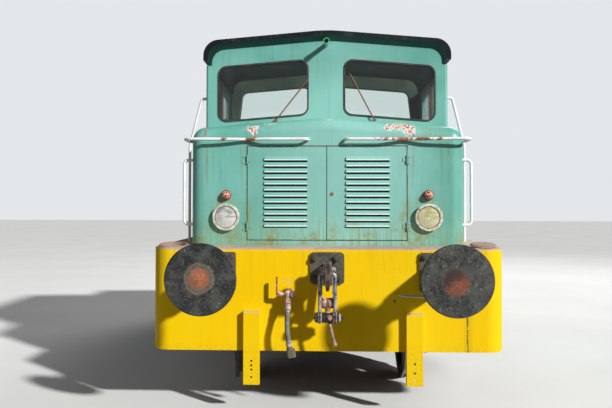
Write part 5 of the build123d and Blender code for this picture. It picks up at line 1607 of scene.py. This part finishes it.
@dataclass(frozen=True)
class CouplingDetail:
    """Eyes, end caps and screw boss of the couplings' feet, and collars of their nuts.

    Each step of a turned detail is its radius at the foot, radius at the far end and height.
    """

    foot_y: float = 2.650
    foot_z: float = 0.761
    foot_half_width: float = 0.086
    nut_y: float = 2.620
    nut_z: float = 0.863
    bar_x: float = 0.057
    bar_half: float = 0.015
    eye: tuple[Point, ...] = ((0.040, 0.044, 0.005), (0.044, 0.044, 0.018), (0.044, 0.040, 0.005))
    cap: tuple[Point, ...] = ((0.037, 0.030, 0.008), (0.030, 0.018, 0.007))
    collar_x: float = 0.010
    nut_collar: tuple[Point, ...] = ((0.0385, 0.040, 0.004), (0.040, 0.040, 0.016))
    screw_at: Point = (0.016, 0.030, 0.004)
    screw_collar: Point = (0.020, 0.019, 0.012)
    screw_nut: float = 0.024
    neck_z: float = 0.036
    neck: Point = (0.0215, 0.020, 0.014)

    def build(self, finishes: Finishes) -> None:
        """Make the details of both couplings.

        Args:
            finishes: Materials of the locomotive.
        """
        eyes = Piece("coupling_eyes")
        bosses = Piece("coupling_bosses")
        up = Vector((0.0, 0.0, 1.0))
        for end in BOTH_SIDES:
            foot = Vector((0.0, end * self.foot_y, self.foot_z))
            nut = Vector((0.0, end * self.nut_y, self.nut_z))
            ahead = Vector((0.0, end, 0.0))
            for side in BOTH_SIDES:
                way = Vector((side, 0.0, 0.0))
                eyes.stack(foot + way * (self.bar_x - self.bar_half), way, 32, *self.eye)
                eyes.stack(foot + way * (self.foot_half_width - 0.001), way, 28, *self.cap)
                bosses.stack(nut + way * self.collar_x, way, 28, *self.nut_collar)
            x, y, z = self.screw_at
            screw = foot + Vector((-end * x, end * y, z))
            bosses.stack(screw, ahead, 20, self.screw_collar)
            bosses.bolt(screw + ahead * self.screw_collar[2], ahead, self.screw_nut, 0.3, stud=False)
            bosses.stack(foot + up * self.neck_z, up, 24, self.neck)
        eyes.publish(finishes.made["hook_iron"])
        bosses.publish(finishes.made["cock_paint"])


@dataclass(frozen=True)
class RunningGear:
    """Nuts of the axlebox covers, and rivets along the frame plates."""

    axle_y: float = 1.250
    axle_z: float = 0.453
    cover_face: float = 1.056
    cover_ring: float = 0.074
    cover_nut: float = 0.019
    plate_face: float = 0.910
    rivet_z: float = 1.205
    rivet_radius: float = 0.013
    first_rivet: float = -2.34
    rivet_pitch: float = 0.156
    rivets: int = 31

    def build(self, finishes: Finishes) -> None:
        """Make the fastenings of the running gear.

        Args:
            finishes: Materials of the locomotive.
        """
        nuts = Piece("axlebox_nuts")
        rivets = Piece("frame_rivets")
        for side in BOTH_SIDES:
            way = Vector((side, 0.0, 0.0))
            for axle in (-self.axle_y, self.axle_y):
                for angle in (math.radians(30.0 + 60.0 * step) for step in range(6)):
                    y, z = self.cover_ring * math.cos(angle), self.cover_ring * math.sin(angle)
                    at = (side * self.cover_face, axle + y, self.axle_z + z)
                    nuts.bolt(at, way, self.cover_nut, angle, stud=False)
            for step in range(self.rivets):
                y = self.first_rivet + step * self.rivet_pitch
                rivets.rivet((side * self.plate_face, y, self.rivet_z), way, self.rivet_radius)
        nuts.publish(finishes.made["spring_steel"])
        rivets.publish(finishes.made["frame_paint"])


@dataclass(frozen=True)
class CabLining:
    """Wooden frames round the side windows, inside the cab."""

    low: Span = (-1.400, 2.300)
    high: Span = (-0.820, 2.836)
    inner_face: float = 1.065
    width: float = 0.050
    thickness: float = 0.020
    edge: float = 0.003

    def build(self, finishes: Finishes) -> None:
        """Make the frame on each side of the cab.

        Args:
            finishes: Materials of the locomotive.
        """
        (y0, z0), (y1, z1) = self.low, self.high
        for side, name in zip(BOTH_SIDES, ("left", "right")):
            piece = Piece(name + "_window_frame")
            near, far = sorted((side * self.inner_face, side * (self.inner_face - self.thickness)))
            for z in (z0, z1 - self.width):
                piece.block((near, y0, z), (far, y1, z + self.width), self.edge)
            for y in (y0, y1 - self.width):
                piece.block((near, y, z0 + self.width), (far, y + self.width, z1 - self.width), self.edge)
            piece.publish(finishes.made["frame_wood"])


def main() -> None:
    """Dress the locomotive piece by piece."""
    logging.basicConfig(level=logging.INFO, format="%(message)s")
    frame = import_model()
    bpy.context.scene.view_settings.view_transform = "Standard"
    finishes = Finishes()
    Studio().build()
    BrakeHose().build(finishes, frame)
    finishes.dress(frame)
    for fitting in (EndFittings(), CouplingDetail(), RunningGear(), CabLining()):
        fitting.build(finishes)


if __name__ == "__main__":
    main()
